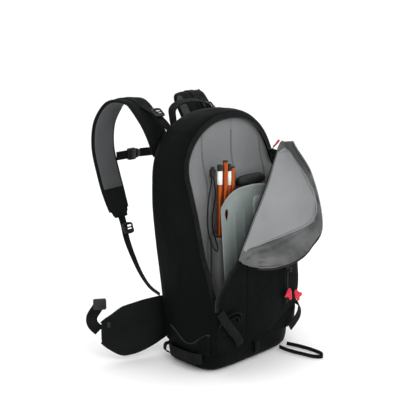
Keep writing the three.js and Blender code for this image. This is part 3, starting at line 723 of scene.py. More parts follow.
def panel_point(u, z):
    x0 = column_at(PANEL_X, u)
    rim = rim_y(z) - 3
    front = min(PANEL_FRONT_Y + 34 * smooth((z - 240) / 220), rim)
    narrow = profile(1, z) / 152
    crown = 5 * (1 - (x0 / 150) ** 2)
    close = (1 - smooth((z - 160) / 80)) * max(0, 1 - u)
    x = x0 * narrow
    x += close * (4 - half_width(z) - x)
    y = front + (rim - front) * column_at(PANEL_WRAP, u) - crown
    above = z - pocket_edge(x)
    body = smooth(above / 16)
    belly = 2.6 * body * (1 - (x0 / 150) ** 4) - 1.8 * math.exp(-((above / 3.5) ** 2))
    seam = -1.8 * math.exp(-(((x + 48) / 2.6) ** 2)) * smooth((z - 64) / 12)
    folds = 1.5 * wave(x * 0.8, 2, z * 0.7, 46, 5.5) + 0.8 * wave(x, 7, z * 1.3, 21, 9.1)
    return vec(x, y - belly - seam - folds * 0.8, z)


def front_panel():
    rows = []
    for r in range(91):
        rows.append([panel_point(u, PANEL_BOTTOM + (panel_top(u) - PANEL_BOTTOM) * r / 90)
                     for u in np.linspace(0, 10, 121)])
    return rows


panel_rows = front_panel()
show("front_pocket", *thick_sheet(panel_rows, 1.6), SHELL, REST, ["front_pocket_panel"], "pack_fabric")


def on_panel(x, z, lift=1.2):
    """A point standing `lift` in front of the front panel at the given x and z."""
    narrow = profile(1, z) / 152
    u = float(np.interp(x / narrow, PANEL_X, range(len(PANEL_X))))
    return panel_point(u, z) + vec(0, -lift, 0)


seam_lines = [[on_panel(x, 78 + 14 * i, 0.4) for i in range(17)] for x in (-51.2, -44.8)]
seam_lines += [[on_panel(x, pocket_edge(x) + d, 0.4) for x in range(-108, 120, 8)] for d in (5, 8.2)]
sewn("front_stitching", seam_lines)


def corner_strip():
    """The side cloth carried round to the front panel's edge below the opening."""
    rows = []
    for i in range(41):
        z = PANEL_BOTTOM - 3 + 128 * i / 40
        edge, wall = panel_point(0, max(z, PANEL_BOTTOM)), vec(-half_width(z) + 2, rim_y(z) + 9, z)
        edge[2] = z
        corner = vec(min(edge[0], wall[0]) - 1.5, edge[1] - 1.0, z)
        rows.append([edge * (1 - k) ** 2 + corner * 2 * k * (1 - k) + wall * k * k
                     for k in np.linspace(0, 1, 9)])
    return rows


show("front_corner_strip", *thick_sheet(corner_strip(), 1.4), SHELL, REST)

# The left edge of the front panel carries the other side of the opening's zip.
left_edge = [row[0] for row in panel_rows if row[0][2] > 150]
corner_edge = [panel_rows[-1][c] for c in range(1, 30)]
zip_edge = left_edge + corner_edge
web("front_zip_edge", [p + vec(2.5, -2.2, -2) for p in zip_edge[::4]], 9, 1.2, [[1, -0.25, 0.15]], 70, 0.0)
show("front_edge_teeth", *flat_teeth([p + vec(-1.0, -1.6, 0.6) for p in zip_edge[::4]]), ZIP, REST)

# ---- Flap, folded open: grey lining side out -----------------------------------------------------
FLAP_REACH, FLAP_MARGIN = 144, 36
ALONG = HINGE_LOW - HINGE_TOP
LIFT = unit(np.cross(unit(ALONG), FLAP_OUT))


def flap_point(s, t, raise_by=0.0):
    reach = FLAP_MARGIN + FLAP_REACH * math.sin(math.pi * s ** 0.9) ** 0.8 if 0 < s < 1 else FLAP_MARGIN
    reach *= (0.5 + 0.5 * smooth(s / 0.075)) * (1 - 0.085 * smooth((s - 0.36) / 0.2))
    curl = 16 * smooth((t - 0.72) / 0.28) - 7 * math.sin(math.pi * clamp01(t))
    bow = 0.11 * (1 - s) ** 3 * min(1, 2.2 * max(0, t))
    lip = 15 * smooth((s - 0.3) / 0.6) * (1 - t) ** 2
    p = HINGE_TOP + ALONG * (s - bow) + FLAP_OUT * (reach * t + 1) + vec(-0.8, 0, -0.1) * lip
    out = (t - inner_edge(s)) / max(0.05, 1 - inner_edge(s))
    band = smooth(out / 0.12) * smooth((1.04 - out) / 0.15)
    wide = reach * (1 - inner_edge(s)) / 60
    ridges = 3.3 * math.sin(out * 11.5 + 0.8 * wave(s * 200, 0, 0, 60, 2.0)) * min(1.2, wide)
    puckers = 5.4 * wave(s * 200, t * 36, 0.7, 10, 6.3)
    soft_folds = 1.8 * wave(s * 210, t * 120, 2.2, 44, 1.4)
    return p + LIFT * (12 + curl + (ridges + puckers) * band + soft_folds + raise_by)


def inner_edge(s):
    """Share of the reach where the stiffer inner panel ends."""
    return float(np.interp(s, (0, 0.1, 0.2, 0.35, 0.5, 0.65, 0.8, 0.88, 1),
                           (0.62, 0.83, 0.93, 0.87, 0.71, 0.52, 0.31, 0.12, 0.04)))


def flap_rows():
    rows = []
    for r in range(131):
        s = r / 130
        rows.append([flap_point(s, c / 70, 1.1 * smooth((inner_edge(s) - c / 70) / 0.03)) for c in range(71)])
    return rows


show("flap_lining", *thick_sheet(flap_rows(), 3.2), GUSSET, "flap", ["tool_pocket_flap"], "lining")
INNER_LOW, INNER_SPAN = 0.03, 0.88


def inner_point(share, across, lift):
    s = INNER_LOW + INNER_SPAN * share
    return flap_point(s, 0.015 + (inner_edge(s) - 0.015) * across, lift)


inner = [[inner_point(r / 90, c / 44, 2.0) for c in range(45)] for r in range(91)]
# The inner panel's lighter grey is painted light on the same lining fabric.
show("flap_inner_panel", *thick_sheet(inner, 1.4), FLAP_LINING_LIT, "flap")
inner_rim = [inner_point(i / 60, 0.975, 2.3) for i in range(61)]
inner_top = [inner_point(0.012, 0.05 + 0.9 * i / 10, 2.3) for i in range(11)]
sewn("flap_stitching", [inner_rim[::3], inner_top], "flap", THREAD_GREY)
binding = [inner_point(i / 30, 1.01, 1.6) for i in range(31)]
show("flap_binding", *tube(binding, 1.4, 150, 8), FLAP_LINING_LIT, "flap")
outer = np.array([flap_point(0.002 + 0.996 * i / 80, 1.0, -1.2) for i in range(81)])
away = np.cross(np.gradient(outer, axis=0), LIFT)
away /= np.linalg.norm(away, axis=1, keepdims=True)
away *= np.sign(np.sum(away * FLAP_OUT, axis=1).mean())
tape = [[p + w * (1.1 * k - 1.2) - LIFT * (0.35 * k) for k in range(6)] for p, w in zip(outer, away)]
show("flap_zip_tape", *thick_sheet(tape, 1.1), WEBBING, "flap")
show("flap_zip_teeth", *teeth([p + w * 5.0 - LIFT * 1.8 for p, w in zip(outer, away)][::2],
                              lambda t: np.cross(t, LIFT)), ZIP, "flap")
# The black outer face of the flap, seen behind its edge.
behind = [[flap_point(r / 60, c / 30, -4.0) for c in range(31)] for r in range(61)]
show("flap_outer_face", *thick_sheet(behind, 1.2), SHELL, "flap")

# ---- Tools ---------------------------------------------------------------------------------------
PROBES = ((-64, TOOL_Y - 2, 448), (-50, TOOL_Y - 5, 456), (-36, TOOL_Y - 2, 446), (-22, TOOL_Y, 438))
PROBE_R, PROBE_LOW = 5.6, 100
# The third tube wears the darker orange copy: painted shade on the same anodised finish.
PROBE_BANDS = (((13, RUBBER), (43, WHITE), (0, ORANGE)), ((3, RUBBER), (0, ORANGE)),
               ((15, RUBBER), (46, WHITE), (0, ORANGE_PAINTED_SHADE)), ((2, RUBBER), (0, ORANGE)))


def probe_tube(index):
    x, y, top = PROBES[index]
    high = top
    name = f"probe_segment_{index + 1}"
    for k, (depth, look) in enumerate(PROBE_BANDS[index]):
        low = PROBE_LOW if depth == 0 else top - depth
        r = PROBE_R + (0.15 if look in (RUBBER, WHITE) else 0)
        shape = [(r - 1.2, low), (r - 0.3, low + 0.2), (r, low + 0.9), (r, high - 0.9), (r - 0.3, high - 0.2),
                 (r - 1.2, high)]
        node = [name] if depth == 0 else ()
        show(f"{name}_{k}", *lathe((x, y, 0), shape, 28), look, "probe", node,
             "orange_anodised" if node else None)
        high = low


for probe_index in range(4):
    probe_tube(probe_index)

BLADE_HALF, BLADE_X = 98, 6


def blade_point(u, v):
    top, low = 396 - 34 * abs(u) ** 3, 112 + 12 * abs(u) ** 4
    z = low + (top - low) * v
    dish = 13 * (1 - u * u) * (0.35 + 0.65 * v)
    rib = sum(1.5 * math.exp(-(((u - c) / 0.05) ** 2)) for c in (-0.52, -0.18, 0.18, 0.52))
    rib *= smooth(v / 0.12) * smooth((0.86 - v) / 0.1)
    lip = 1.6 * smooth((v - 0.965) / 0.03)
    x = BLADE_X + BLADE_HALF * u * (1 - 0.1 * (1 - v))
    return vec(x, -95 + 11 * v + dish * 0.7 - rib - lip, z)


def cut_holes(obj, places, outline, depth):
    for x, y, z in places:
        pts, faces = block((x, y, z), (1, 0, 0), (0, 1, 0), [(u, -v) for u, v in outline], depth, 0.1)
        mesh = bpy.data.meshes.new("cutter")
        mesh.from_pydata([Vector(p) * MM for p in pts], [], faces)
        cutter = bpy.data.objects.new("cutter", mesh)
        bpy.context.collection.objects.link(cutter)
        work = bmesh.new()
        work.from_mesh(mesh)
        bmesh.ops.recalc_face_normals(work, faces=work.faces)
        work.to_mesh(mesh)
        work.free()
        mod = obj.modifiers.new("hole", "BOOLEAN")
        mod.object, mod.operation, mod.solver = cutter, "DIFFERENCE", "EXACT"
        bake(obj)
        bpy.data.objects.remove(cutter)


def bake(obj):
    """Applies every modifier of an object to its mesh."""
    graph = bpy.context.evaluated_depsgraph_get()
    mesh = bpy.data.meshes.new_from_object(obj.evaluated_get(graph))
    obj.modifiers.clear()
    obj.data = mesh


blade_rows = [[blade_point(c / 40 - 1, r / 70) for c in range(81)] for r in range(71)]
blade = show("blade_plate", *thick_sheet(blade_rows, 1.8), BLADE, "blade", ["shovel_blade"], "aluminium")
TEARDROP = [(0, -16), (2.7, -11.5), (5, -6), (6.2, -1), (6, 3), (4.6, 7), (2.4, 9.4), (0, 10.2), (-2.4, 9.4),
            (-4.6, 7), (-6, 3), (-6.2, -1), (-5, -6), (-2.7, -11.5)]
cut_holes(blade, [(BLADE_X + k * 78, -120, 346) for k in (-1, 1)], TEARDROP, 70)
# Folded neck at the middle of the blade's top edge where the shaft plugs in.
show("blade_socket", *rings([ellipse_ring(a, b, 34, -78, z, 2.6, 32)
                             for a, b, z in ((15, 4, 300), (17, 6, 312), (17, 6.5, 352), (14, 5, 366),
                                             (9, 2, 370))]),
     BLADE, "blade")

SHAFT_X, SHAFT_TOP = 34, 382
show("shaft_tube", *rings([ellipse_ring(15 - e, 11 - e, SHAFT_X, TOOL_Y, z, 2.4, 40)
                           for e, z in ((1, 100), (0, 101), (0, SHAFT_TOP - 1), (0.6, SHAFT_TOP),
                                        (3, SHAFT_TOP), (3, SHAFT_TOP - 30))]),
     ALLOY, "handle", ["shovel_shaft"], "aluminium")


def grip():
    levels = []
    for i in range(85):
        u = i / 42 - 1
        swell = 1 - 0.35 * abs(u) ** 5
        ridge = 1 - 0.07 * (0.5 + 0.5 * math.cos(i * 2 * math.pi / 7)) * (abs(u) < 0.93)
        ring = ellipse_ring(11 * swell * ridge, 12.6 * swell * ridge, 0, 0, 0, 2.4, 32)
        levels.append([vec(SHAFT_X + 4 + 42 * u, TOOL_Y + p[0], 401 + p[1]) for p in ring])
    bar = rings(levels)
    neck = rings([ellipse_ring(a, b, SHAFT_X, TOOL_Y, z, 2.4, 32)
                  for a, b, z in ((12, 8, 348), (12, 8, 382.2), (15, 10, 382.6), (15, 10, 386),
                                  (11, 9, 402))])
    return joined([bar, neck])


show("grip_bar", *grip(), RUBBER, "handle", ["shovel_grip"], "black_plastic")


def sleeve():
    levels = []
    for z, inset in ((96, 5), (97, 1.5), (104, 0), (160, 0.5), (210, 0), (250, 0.3), (280, 0.2), (287, -0.4),
                     (290, 0.6), (287, 2), (250, 2.4), (110, 3)):
        ring = ellipse_ring(71 - inset, 17 - inset, -7, TOOL_Y, z, 5, 90)
        for p in ring:
            p[1] += 0.9 * wave(p[0], p[1] * 0.2, z, 30, 3.3) * (-1 if p[1] < TOOL_Y else 0)
        levels.append(ring)
    return rings(levels)


show("sleeve_cloth", *sleeve(), LINING, REST, ["tool_sleeve"], "coated_fabric")
hem = [p + vec(0, -0.8, 0) for p in ellipse_ring(71, 17, -7, TOOL_Y, 281, 5, 60) if p[1] < TOOL_Y]
show("sleeve_stitching", *stitches(sorted(hem, key=lambda p: p[0])[::2]), THREAD_GREY, REST)

# ---- Elastic retention cord and its lock ---------------------------------------------------------
LOCK = (-76, -46, 430)
LOCK_LOW = LOCK[2] - 9
RETENTION_ROUTE = [
    (LOCK[0] - 3, LOCK[1], LOCK_LOW), (-81, -47, 408), (-96, -55, 384), (-111, -65, 354), (-119, -73, 324),
    (-118, -79, 298), (-110, -82, 278), (-98, -81, 268), (-89, -74, 274), (-85, -62, 292), (-84, -54, 312),
    (-83, -52, 336), (-79, -53, 360), (-74, -53, 384), (-73, -49, 406), (LOCK[0] + 3, LOCK[1], LOCK_LOW),
]
CORD_R, PULL_R = 1.4, 1.3


def route_length(points):
    path, _ = curve(points, 400)
    return float(np.sum(np.linalg.norm(np.diff(path, axis=0), axis=1))) * MM


def metres(points):
    return [tuple(float(c) * MM for c in p) for p in points]


def free_cord(name, points, radius, body, node, steps):
    """A braided cord along its route; its length and route in metres are worked out but not kept."""
    braid = tube(points, radius, steps, 10, lambda s: 1 + 0.05 * math.sin(s * steps * 1.9))
    obj = show(name, *braid, CORD, body, [node], "cord")
    round(route_length(points), 4)
    metres(curve(points, 120)[0])
    return obj


free_cord("retention_cord_braid", RETENTION_ROUTE, CORD_R, REST, "retention_cord", 300)
BARREL = [(5.6, -8), (6.2, -7.4), (6.6, 0), (7, 6.6), (6.8, 8), (5.4, 8), (5.2, -1)]
PLUNGER = [(4, 2), (4.4, 3), (4.4, 12.6), (4, 13.6), (2.6, 14)]
moulded("lock_barrel", lathe(LOCK, BARREL, 28), REST, "cord_lock_body")
moulded("lock_plunger", lathe(LOCK, PLUNGER, 28), "lock_button", "cord_lock_button")

# ---- Zips with pulls -----------------------------------------------------------------------------
FRONT_ZIP_X, FRONT_ZIP_Y = 92, PANEL_FRONT_Y - 7.5


SLIDER_OUTLINE = [(-4.4, -5), (-3, -6.4), (3, -6.4), (4.4, -5), (3.6, 4.4), (2, 6.4), (-2, 6.4), (-3.6, 4.4)]


def slider_shape(origin, facing, along):
    f, a = unit(vec(*facing)), unit(vec(*along))
    across = np.cross(f, a)
    base = block(origin, across, f, SLIDER_OUTLINE, 2.6, 0.7)
    bridge = tube([vec(*origin) + f * out + a * along
                   for out, along in ((2.2, -4), (3.9, -2), (3.9, 2), (2.2, 4))], 0.85, 14, 8)
    return joined([base, bridge])


def pull_tab(points, width=11, thick=5):
    """A moulded tab: a flat tongue with a waist and rounded end."""
    centres, tangents = curve(points, 24)
    side0 = unit(vec(1, 0, 0.2))
    pts = []
    for i, (c, t) in enumerate(zip(centres, tangents)):
        s = i / 24
        side = unit(side0 - t * side0.dot(t))
        up = unit(np.cross(side, t))
        shape = (0.55 + 0.45 * smooth(s / 0.35)) * (1 - 0.45 * smooth((s - 0.86) / 0.14)) - 0.1 * math.exp(
            -(((s - 0.5) / 0.12) ** 2))
        deep = thick * (0.72 + 0.1 * math.sin(s * 40)) * (1 - 0.35 * smooth((s - 0.9) / 0.1))
        pts += [c + side * width / 2 * shape * math.cos(a) * (1 if abs(math.cos(a)) > 0.7 else 1.12)
                + up * deep / 2 * math.sin(a) for a in np.linspace(0, 2 * math.pi, 16, endpoint=False)]
    faces = grid_faces(25, 16, closed=True)
    return pts, [*faces, tuple(range(16))[::-1], tuple(range(24 * 16, 25 * 16))]


moulded("flap_slider_body", slider_shape((127, -33, 452), (0, -1, 0), (-0.3, 0, 1)), "flap_slider",
        "flap_zip_slider", ZIP)
rim_end = arch_inset(RIM_END, 5, rim_y(arch_point(RIM_END)[1]) - 3)
FLAP_TAPE = [rim_end, rim_end + vec(1, -4, 9), vec(124, -40, 452), vec(118, -62, 452)]
web("flap_slider_tape", FLAP_TAPE, 12, 1.4, [[0.3, 0.2, 1]], 30, 0.0)
PULL_LOOP = [(127, -37, 451), (128.5, -40, 456), (130, -42, 462.5)]
show("flap_pull_loop", *tube(PULL_LOOP, 1.1, 14, 8), CORD, "flap_pull")
show("flap_tab", *pull_tab([(130, -42, 462), (134, -48, 470), (138, -52, 478)]), RED, "flap_pull",
     ["flap_zip_pull"], "red_tab")
FRONT_TAPE = [(FRONT_ZIP_X, FRONT_ZIP_Y + 0.4, z) for z in (112, 137, 162, 187, 212)]
web("front_zip_cloth", FRONT_TAPE, 18, 1.3, [[1, 0.08, 0]], 40, 0.0, node="front_zip_tape")
show("front_zip_teeth", *teeth([vec(FRONT_ZIP_X, FRONT_ZIP_Y - 0.9, z) for z in (115, 150, 190)],
                               lambda t: vec(1, 0, 0), 2.0), ZIP, REST)
PULL_FANS = ((2.4, -4, -9), (7.8, 2.5, 12))
for i, dx in enumerate((-5.5, 5.5)):
    n = i + 1
    x, low, y, drift = FRONT_ZIP_X + dx, 194 - 9 * i, FRONT_ZIP_Y - 3.5, 4 + 9 * i
    moulded(f"front_slider_body_{n}", slider_shape((x, y, low + 8), (0, -1, 0), (0, 0, 1)),
            f"front_slider_{n}", f"front_zip_slider_{n}", ZIP)
    # Each red pull is a fan of three moulded tongues.
    tongues = [[(x + drift, y - 5, low - 43.6), (x + drift + side, y - 5.5 - lift, low - 55),
                (x + drift + 1.9 * side, y - 5 - lift, low - 71 + rise)]
               for side, lift, rise in zip(PULL_FANS[i], (0, 2, 1.5), (0, 9, 12))]
    tab = show(f"front_tab_{n}", *joined([pull_tab(tongue) for tongue in tongues]), RED, f"front_pull_{n}",
               [f"front_pull_tab_{n}"], "red_tab")
    free_cord(f"front_pull_braid_{n}", [(x, y - 6, low + 4), (x + 0.2 * drift, y - 7, low - 10),
                                        (x + 0.5 * drift, y - 6, low - 26), (x + drift, y - 5, low - 43)],
              PULL_R, f"front_pull_{n}", f"front_pull_cord_{n}", 60)

# ---- Loops and lower straps ----------------------------------------------------------------------
for word, side in SIDES:
    x = side * 141
    path = [(x, -78, 32), (x + side * 8, -66, 32), (x + side * 12, -42, 32), (x + side * 12, -16, 32),
            (x + side * 8, 10, 32), (x, 22, 32)]
    web(f"ski_loop_web_{word}", path, 25, 2, [[0, 0, 1]], 60, 0.15, node=f"ski_loop_{word}")
AXE_LOOP = [(84, -108, 6), (83, -135, 5.2), (88, -172, 5.2), (95, -203, 5.2), (107, -214, 5.2),
            (119, -203, 5.2), (123, -172, 5.2), (120, -135, 5.2), (112, -107, 6)]
LEFT_STRAP = [(-132, -122, 146), (-118, -127, 122), (-98, -127, 98), (-80, -127, 76), (-70, -126, 60)]
RIGHT_STRAP = [(155, -88, 99), (149, -111, 93), (132, -125, 80), (110, -129, 66), (94, -129, 56)]
web("axe_loop_web", AXE_LOOP, 9, 2.4, [[0, 0, 1]], 120, 0.1, "axe_loop", "ice_axe_loop")
web("compression_web_left", LEFT_STRAP, 20, 1.8, [[0.75, -0.2, 0.6]], 60, node="compression_strap_left")
web("compression_web_right", RIGHT_STRAP, 20, 1.8, [[-0.5, 0, 0.85]], 60, node="compression_strap_right")


def rounded_plate(w, h, r, count=6):
    pts = []
    for cx, cy, start in ((w / 2 - r, h / 2 - r, 0), (-w / 2 + r, h / 2 - r, 90),
                          (-w / 2 + r, -h / 2 + r, 180), (w / 2 - r, -h / 2 + r, 270)):
        for k in range(count):
            a = math.radians(start + 90 * k / (count - 1))
            pts.append((cx + r * math.cos(a), cy + r * math.sin(a)))
    return pts


def frame_of(x_way, z_way):
    z = unit(vec(*z_way))
    x = vec(*x_way)
    x = unit(x - z * x.dot(z))
    return x, np.cross(z, x), z


def plate_parts(origin, x_way, z_way, items):
    """Several moulded plates in one frame: each item is (u, v, lift, outline, depth)."""
    x, y, z = frame_of(x_way, z_way)
    return joined([block(vec(*origin) + x * u + y * v + z * lift, x, z, outline, depth, 0.7)
                   for u, v, lift, outline, depth in items])


def ladder_lock(origin, z_way, width=20):
    """A frame with two bars for webbing and a lifting tail."""
    x, y, z = frame_of((1, 0, 0), z_way)
    o = vec(*origin)
    w = width / 2 + 2.2

    def at(u, v, h=1.75):
        return o + x * u + y * v + z * h
    outer = tube([at(-w, -9), at(-w - 0.4, 0), at(-w, 9), at(0, 11), at(w, 9), at(w + 0.4, 0), at(w, -9),
                  at(0, -11), at(-w, -9)], 2.2, 70, 8)
    bars = [tube([at(-w, v), at(0, v, 2.1), at(w, v)], 1.7, 10, 8) for v in (1.4, -4.5)]
    tail = block(at(0, 11.5, 0.4), x, z, rounded_plate(13, 4, 1.6), 2.2, 0.6)
    plates = [block(at(0, v, 0.3), x, z, rounded_plate(width + 2, 4, 1.2), 2.8, 0.6) for v in (9.2, -7.6)]
    return joined([outer, *bars, tail, *plates])


moulded("side_buckle_shell", plate_parts((153.6, -70, 102), (0.35, 1, 0), (1, -0.35, 0), [
    (0, 0, 0.3, rounded_plate(25, 23, 4), 6), (0, 0, 6, rounded_plate(15, 14, 3), 0.8),
    (0, 11, 1.6, rounded_plate(22, 3, 1.3), 3)]), REST, "side_buckle_socket")
HAUL_LOOP = [(-64, 84, 518), (-62, 90, 534), (-56, 97, 552), (-34, 102, 563), (0, 103, 566), (34, 102, 563),
             (56, 97, 552), (62, 90, 534), (64, 84, 518)]
web("haul_web", HAUL_LOOP, 20, 2.8, [[0, 1, 0.25]], 90, 0.2, "haul", "haul_loop")

# Small sewn loops on the outside: one over the left strap, one hanging on the base, one at the heel.
KEEPER = ((-106, 112, 1.5), (-102, 128, 3.5), (-86, 137, 6), (-70, 128, 3.5), (-66, 112, 1.5))
keeper = ribbon([on_panel(*p) for p in KEEPER], 9, 2.2, [[0, -1, 0]], 50)
keeper_inside = ribbon([on_panel(-86 + 0.62 * (x + 86), 110 + 0.62 * (z - 110), lift + 1.5)
                        for x, z, lift in KEEPER], 6, 2.0, [[0, -1, 0]], 50)
show("keeper_loop", *joined([keeper, keeper_inside]), CORD, REST)
BASE_LOOP = [(1, -107, 46), (1, -111.5, 42), (1, -112.5, 30), (1, -111.5, 19), (1, -106, 14)]
HEEL_TAB = [(-130, 36, 38), (-136, 42, 34), (-137, 43, 20), (-130, 36, 14)]
web("base_loop", BASE_LOOP, 15, 1.8, [[1, 0, 0]], 40)
web("heel_tab", HEEL_TAB, 14, 1.8, [[0.3, 0.9, 0]], 30)


# ---- Back panel ----------------------------------------------------------------------------------
PANEL_LOW, PANEL_INSET = 62, 40


def back_half(z):
    return half_width(z + PANEL_INSET * smooth((z - SHOULDER_Z) / ARCH_RISE)) - PANEL_INSET


def back_channels(x, z):
    """Foam ribs either side of a hollow spine, with a cross channel between shoulder and lumbar."""
    spine = math.exp(-((x / 15) ** 2))
    cross = sum(math.exp(-(((z - level) / 7) ** 2)) for level in (290, 410, 170))
    return min(1, 0.9 * spine + 0.75 * cross)


def back_pad():
    rows = []
    for r in range(101):
        z = PANEL_LOW + (500 - PANEL_LOW) * r / 100
        half = back_half(z)
        row = []
        for c in range(61):
            share = c / 30 - 1
            x = half * share
            edge = smooth((1 - abs(share)) / 0.13) * smooth(min(r, 100 - r) / 7)
            lift = 5 + edge * (7.5 - 5.5 * back_channels(x, z)) + 0.6 * wave(x, 3, z, 28, 2.0)
            row.append(vec(x, back_y(z) + lift, z))
        rows.append(row)
    return rows


back = show("back_pad_foam", *thick_sheet(back_pad(), 8), PADDING, "back_panel", ["back_panel_pad"],
            "padded_mesh")
back_rim = [vec(back_half(z) * side, back_y(z) + 4.5, z) for side, order in ((-1, 1), (1, -1))
            for z in list(range(66, 498, 16))[::order]]
show("back_piping", *tube([*back_rim, back_rim[0]], 2.2, 300, 8), WEBBING, "back_panel")


def plain_sheet(low, high, share, lift, thick, count):
    rows = []
    for r in range(count + 1):
        z = low + (high - low) * r / count
        half = back_half(z) * share
        rows.append([vec(half * (c / 6 - 1), back_y(z) + lift, z) for c in range(13)])
    return thick_sheet(rows, thick)


show("frame_board", *plain_sheet(PANEL_LOW + 8, 488, 0.9, -5, 1.8, 40), FRAME_SHEET, "back_panel",
     ["frame_sheet"], "frame_plastic")
show("frame_bar", *plain_sheet(PANEL_LOW + 20, 470, 0.11, -8.2, 2.6, 40), ALLOY, "back_panel", ["frame_stay"],
     "aluminium")


def pillow(rows_of, thickness, rows, columns, crown_power=2.0):
    """A closed pad: a mid-surface with a crowned face on both sides and a pinched edge all round."""
    front, rear = [], []
    for r in range(rows + 1):
        a = 2 * r / rows - 1
        for c in range(columns + 1):
            b = 2 * c / columns - 1
            p, n = rows_of(r / rows, c / columns)
            full = (1 - abs(a) ** 8) ** 0.5 * (1 - abs(b) ** (2 * crown_power)) ** 0.5
            front.append(p + n * thickness / 2 * full)
            rear.append(p - n * thickness / 2 * full)
    count = (rows + 1) * (columns + 1)
    faces = grid_faces(rows + 1, columns + 1)
    faces += [f[::-1] for f in grid_faces(rows + 1, columns + 1, count)]
    return front + rear, faces


def welded(obj, distance=0.00005):
    work = bmesh.new()
    work.from_mesh(obj.data)
    bmesh.ops.remove_doubles(work, verts=work.verts, dist=distance)
    bmesh.ops.recalc_face_normals(work, faces=work.faces)
    work.to_mesh(obj.data)
    work.free()
    return obj


def border(shape, steps=80):
    """Points all round the sewn edge of a pad."""
    ends = [shape(s, j / 20)[0] for s in (0, 1) for j in range(21)]
    return ends + [shape(i / steps, t)[0] for t in (0, 1) for i in range(steps + 1)]


def sewn_edge(obj, rim, reach):
    """A group of the points that lie on the sewn edge, which holds its shape."""
    tree = kdtree.KDTree(len(rim))
    for i, p in enumerate(rim):
        tree.insert(Vector(p) * MM, i)
    tree.balance()
    group = obj.vertex_groups.new(name="edge")
    for v in obj.data.vertices:
        gap = tree.find(v.co)[2]
        group.add([v.index], 1.0 if gap < reach else 0.0, "REPLACE")
    return group.name


def puffed(obj, shape, pressure=2.5, voxel=0.0045):
    """Swells a pad as filled cloth: its sewn edge held, air pressure inside for sixteen frames, and kept."""
    remesh = obj.modifiers.new("even", "REMESH")
    remesh.mode, remesh.voxel_size = "VOXEL", voxel
    bake(obj)
    cloth = obj.modifiers.new("cloth", "CLOTH")
    cloth.settings.quality = 5
    cloth.settings.use_pressure = True
    cloth.settings.uniform_pressure_force = pressure
    cloth.settings.effector_weights.gravity = 0
    cloth.settings.tension_stiffness = 60
    cloth.settings.compression_stiffness = 60
    cloth.settings.bending_stiffness = 4
    cloth.settings.vertex_group_mass = sewn_edge(obj, border(shape), 0.006)
    cloth.point_cache.frame_start, cloth.point_cache.frame_end = 1, 16
    for step in range(1, 17):
        bpy.context.scene.frame_set(step)
    bake(obj)
    bpy.context.scene.frame_set(1)
    even = obj.modifiers.new("fine", "SUBSURF")
    even.levels = even.render_levels = 1
    bake(obj)
    obj.data.polygons.foreach_set("use_smooth", [True] * len(obj.data.polygons))
    return obj


def laid_on(obj, points, ways, lift):
    """Moves points along `ways` until they stand `lift` off the surface of a pad."""
    mesh = obj.data
    corners = [tuple(p.vertices) for p in mesh.polygons]
    tree = bvhtree.BVHTree.FromPolygons([v.co for v in mesh.vertices], corners)
    laid = []
    for p, way in zip(points, ways):
        hit = tree.ray_cast(Vector(p + way * 25) * MM, -Vector(way))[0]
        laid.append((vec(*hit) / MM if hit is not None else p) + way * lift)
    return laid


def lumbar(s, t):
    z = 60 + 100 * s
    x = 92 * (2 * t - 1)
    return vec(x, back_y(z) + 25 - 4 * (2 * t - 1) ** 2, z), vec(0, 1, 0)


lumbar_pad = puffed(welded(show("lumbar_foam", *pillow(lumbar, 12, 40, 60), MESH_GREY, "back_panel",
                                ["lumbar_pad"], "padded_mesh")), lumbar)

# ---- Shoulder straps -----------------------------------------------------------------------------
PAD_WIDTH, PAD_THICK = 66, 11
PAD_PATH = [(-74, 110, 440), (-78, 119, 480), (-88, 142, 530), (-102, 172, 566), (-122, 206, 564),
            (-142, 226, 526), (-152, 226, 470), (-154, 206, 405), (-152, 184, 345), (-148, 168, 304)]
WEB_PATH = [(-148, 172, 312), (-147, 165, 292), (-146, 158, 262), (-140, 142, 218), (-132, 124, 178),
            (-121, 108, 150), (-106, 92, 132)]
LIFTER_PATH = [(-96, 152, 560), (-92, 142, 554), (-85, 124, 544), (-76, 102, 524), (-72, 89, 508)]


def sided(points, side):
    return [(x * -side, *rest) for x, *rest in points]


# The right strap has flopped inwards where it arches over.
RIGHT_FLOP = (0, 0, -5, -18, -24, -12, 0, 0, 0, 0)


def pad_path(side):
    path = sided(PAD_PATH, side)
    return path if side < 0 else [(x + flop, y, z) for (x, y, z), flop in zip(path, RIGHT_FLOP)]


def pad_frames(side, steps=120):
    centres, tangents = curve(pad_path(side), steps)
    frames = []
    for i, (c, t) in enumerate(zip(centres, tangents)):
        across = unit(vec(1, (0.12 - 0.10 * i / steps) * -side, 0))
        across = unit(across - t * across.dot(t))
        frames.append((c, across, unit(np.cross(across, t))))
    return frames


def pad_trim(s):
    """How the pad narrows: a little at the top, then to a rounded lower end."""
    return (1 - 0.16 * smooth((s - 0.82) / 0.18) - 0.3 * (1 - smooth(s / 0.05))
            - 0.5 * (1 - math.sqrt(1 - clamp01((s - 0.93) / 0.072) ** 2)))


def pad_shape(side):
    frames = pad_frames(side)

    def at(s, t):
        c, across, normal = frames[int(round(s * 120))]
        b = 2 * t - 1
        return c + across * b * PAD_WIDTH / 2 * pad_trim(s), normal
    return at


def pad_line(side, b, face, low=0.03, high=0.97):
    """A line along the pad at share b of its width, with the way out of the face it lies on."""
    frames = pad_frames(side)
    points, ways = [], []
    for i in range(int(low * 120), int(high * 120) + 1, 3):
        c, across, normal = frames[i]
        points.append(c + across * b * PAD_WIDTH / 2 * pad_trim(i / 120))
        ways.append(normal * face)
    return points, ways


def face_sheet(pad, side, face, half, lift):
    """A second layer of cloth lying on one face of the pad."""
    lines = [laid_on(pad, *pad_line(side, half * (k / 10 - 1), face, 0.02, 0.86), lift) for k in range(21)]
    return [list(row) for row in zip(*lines)]


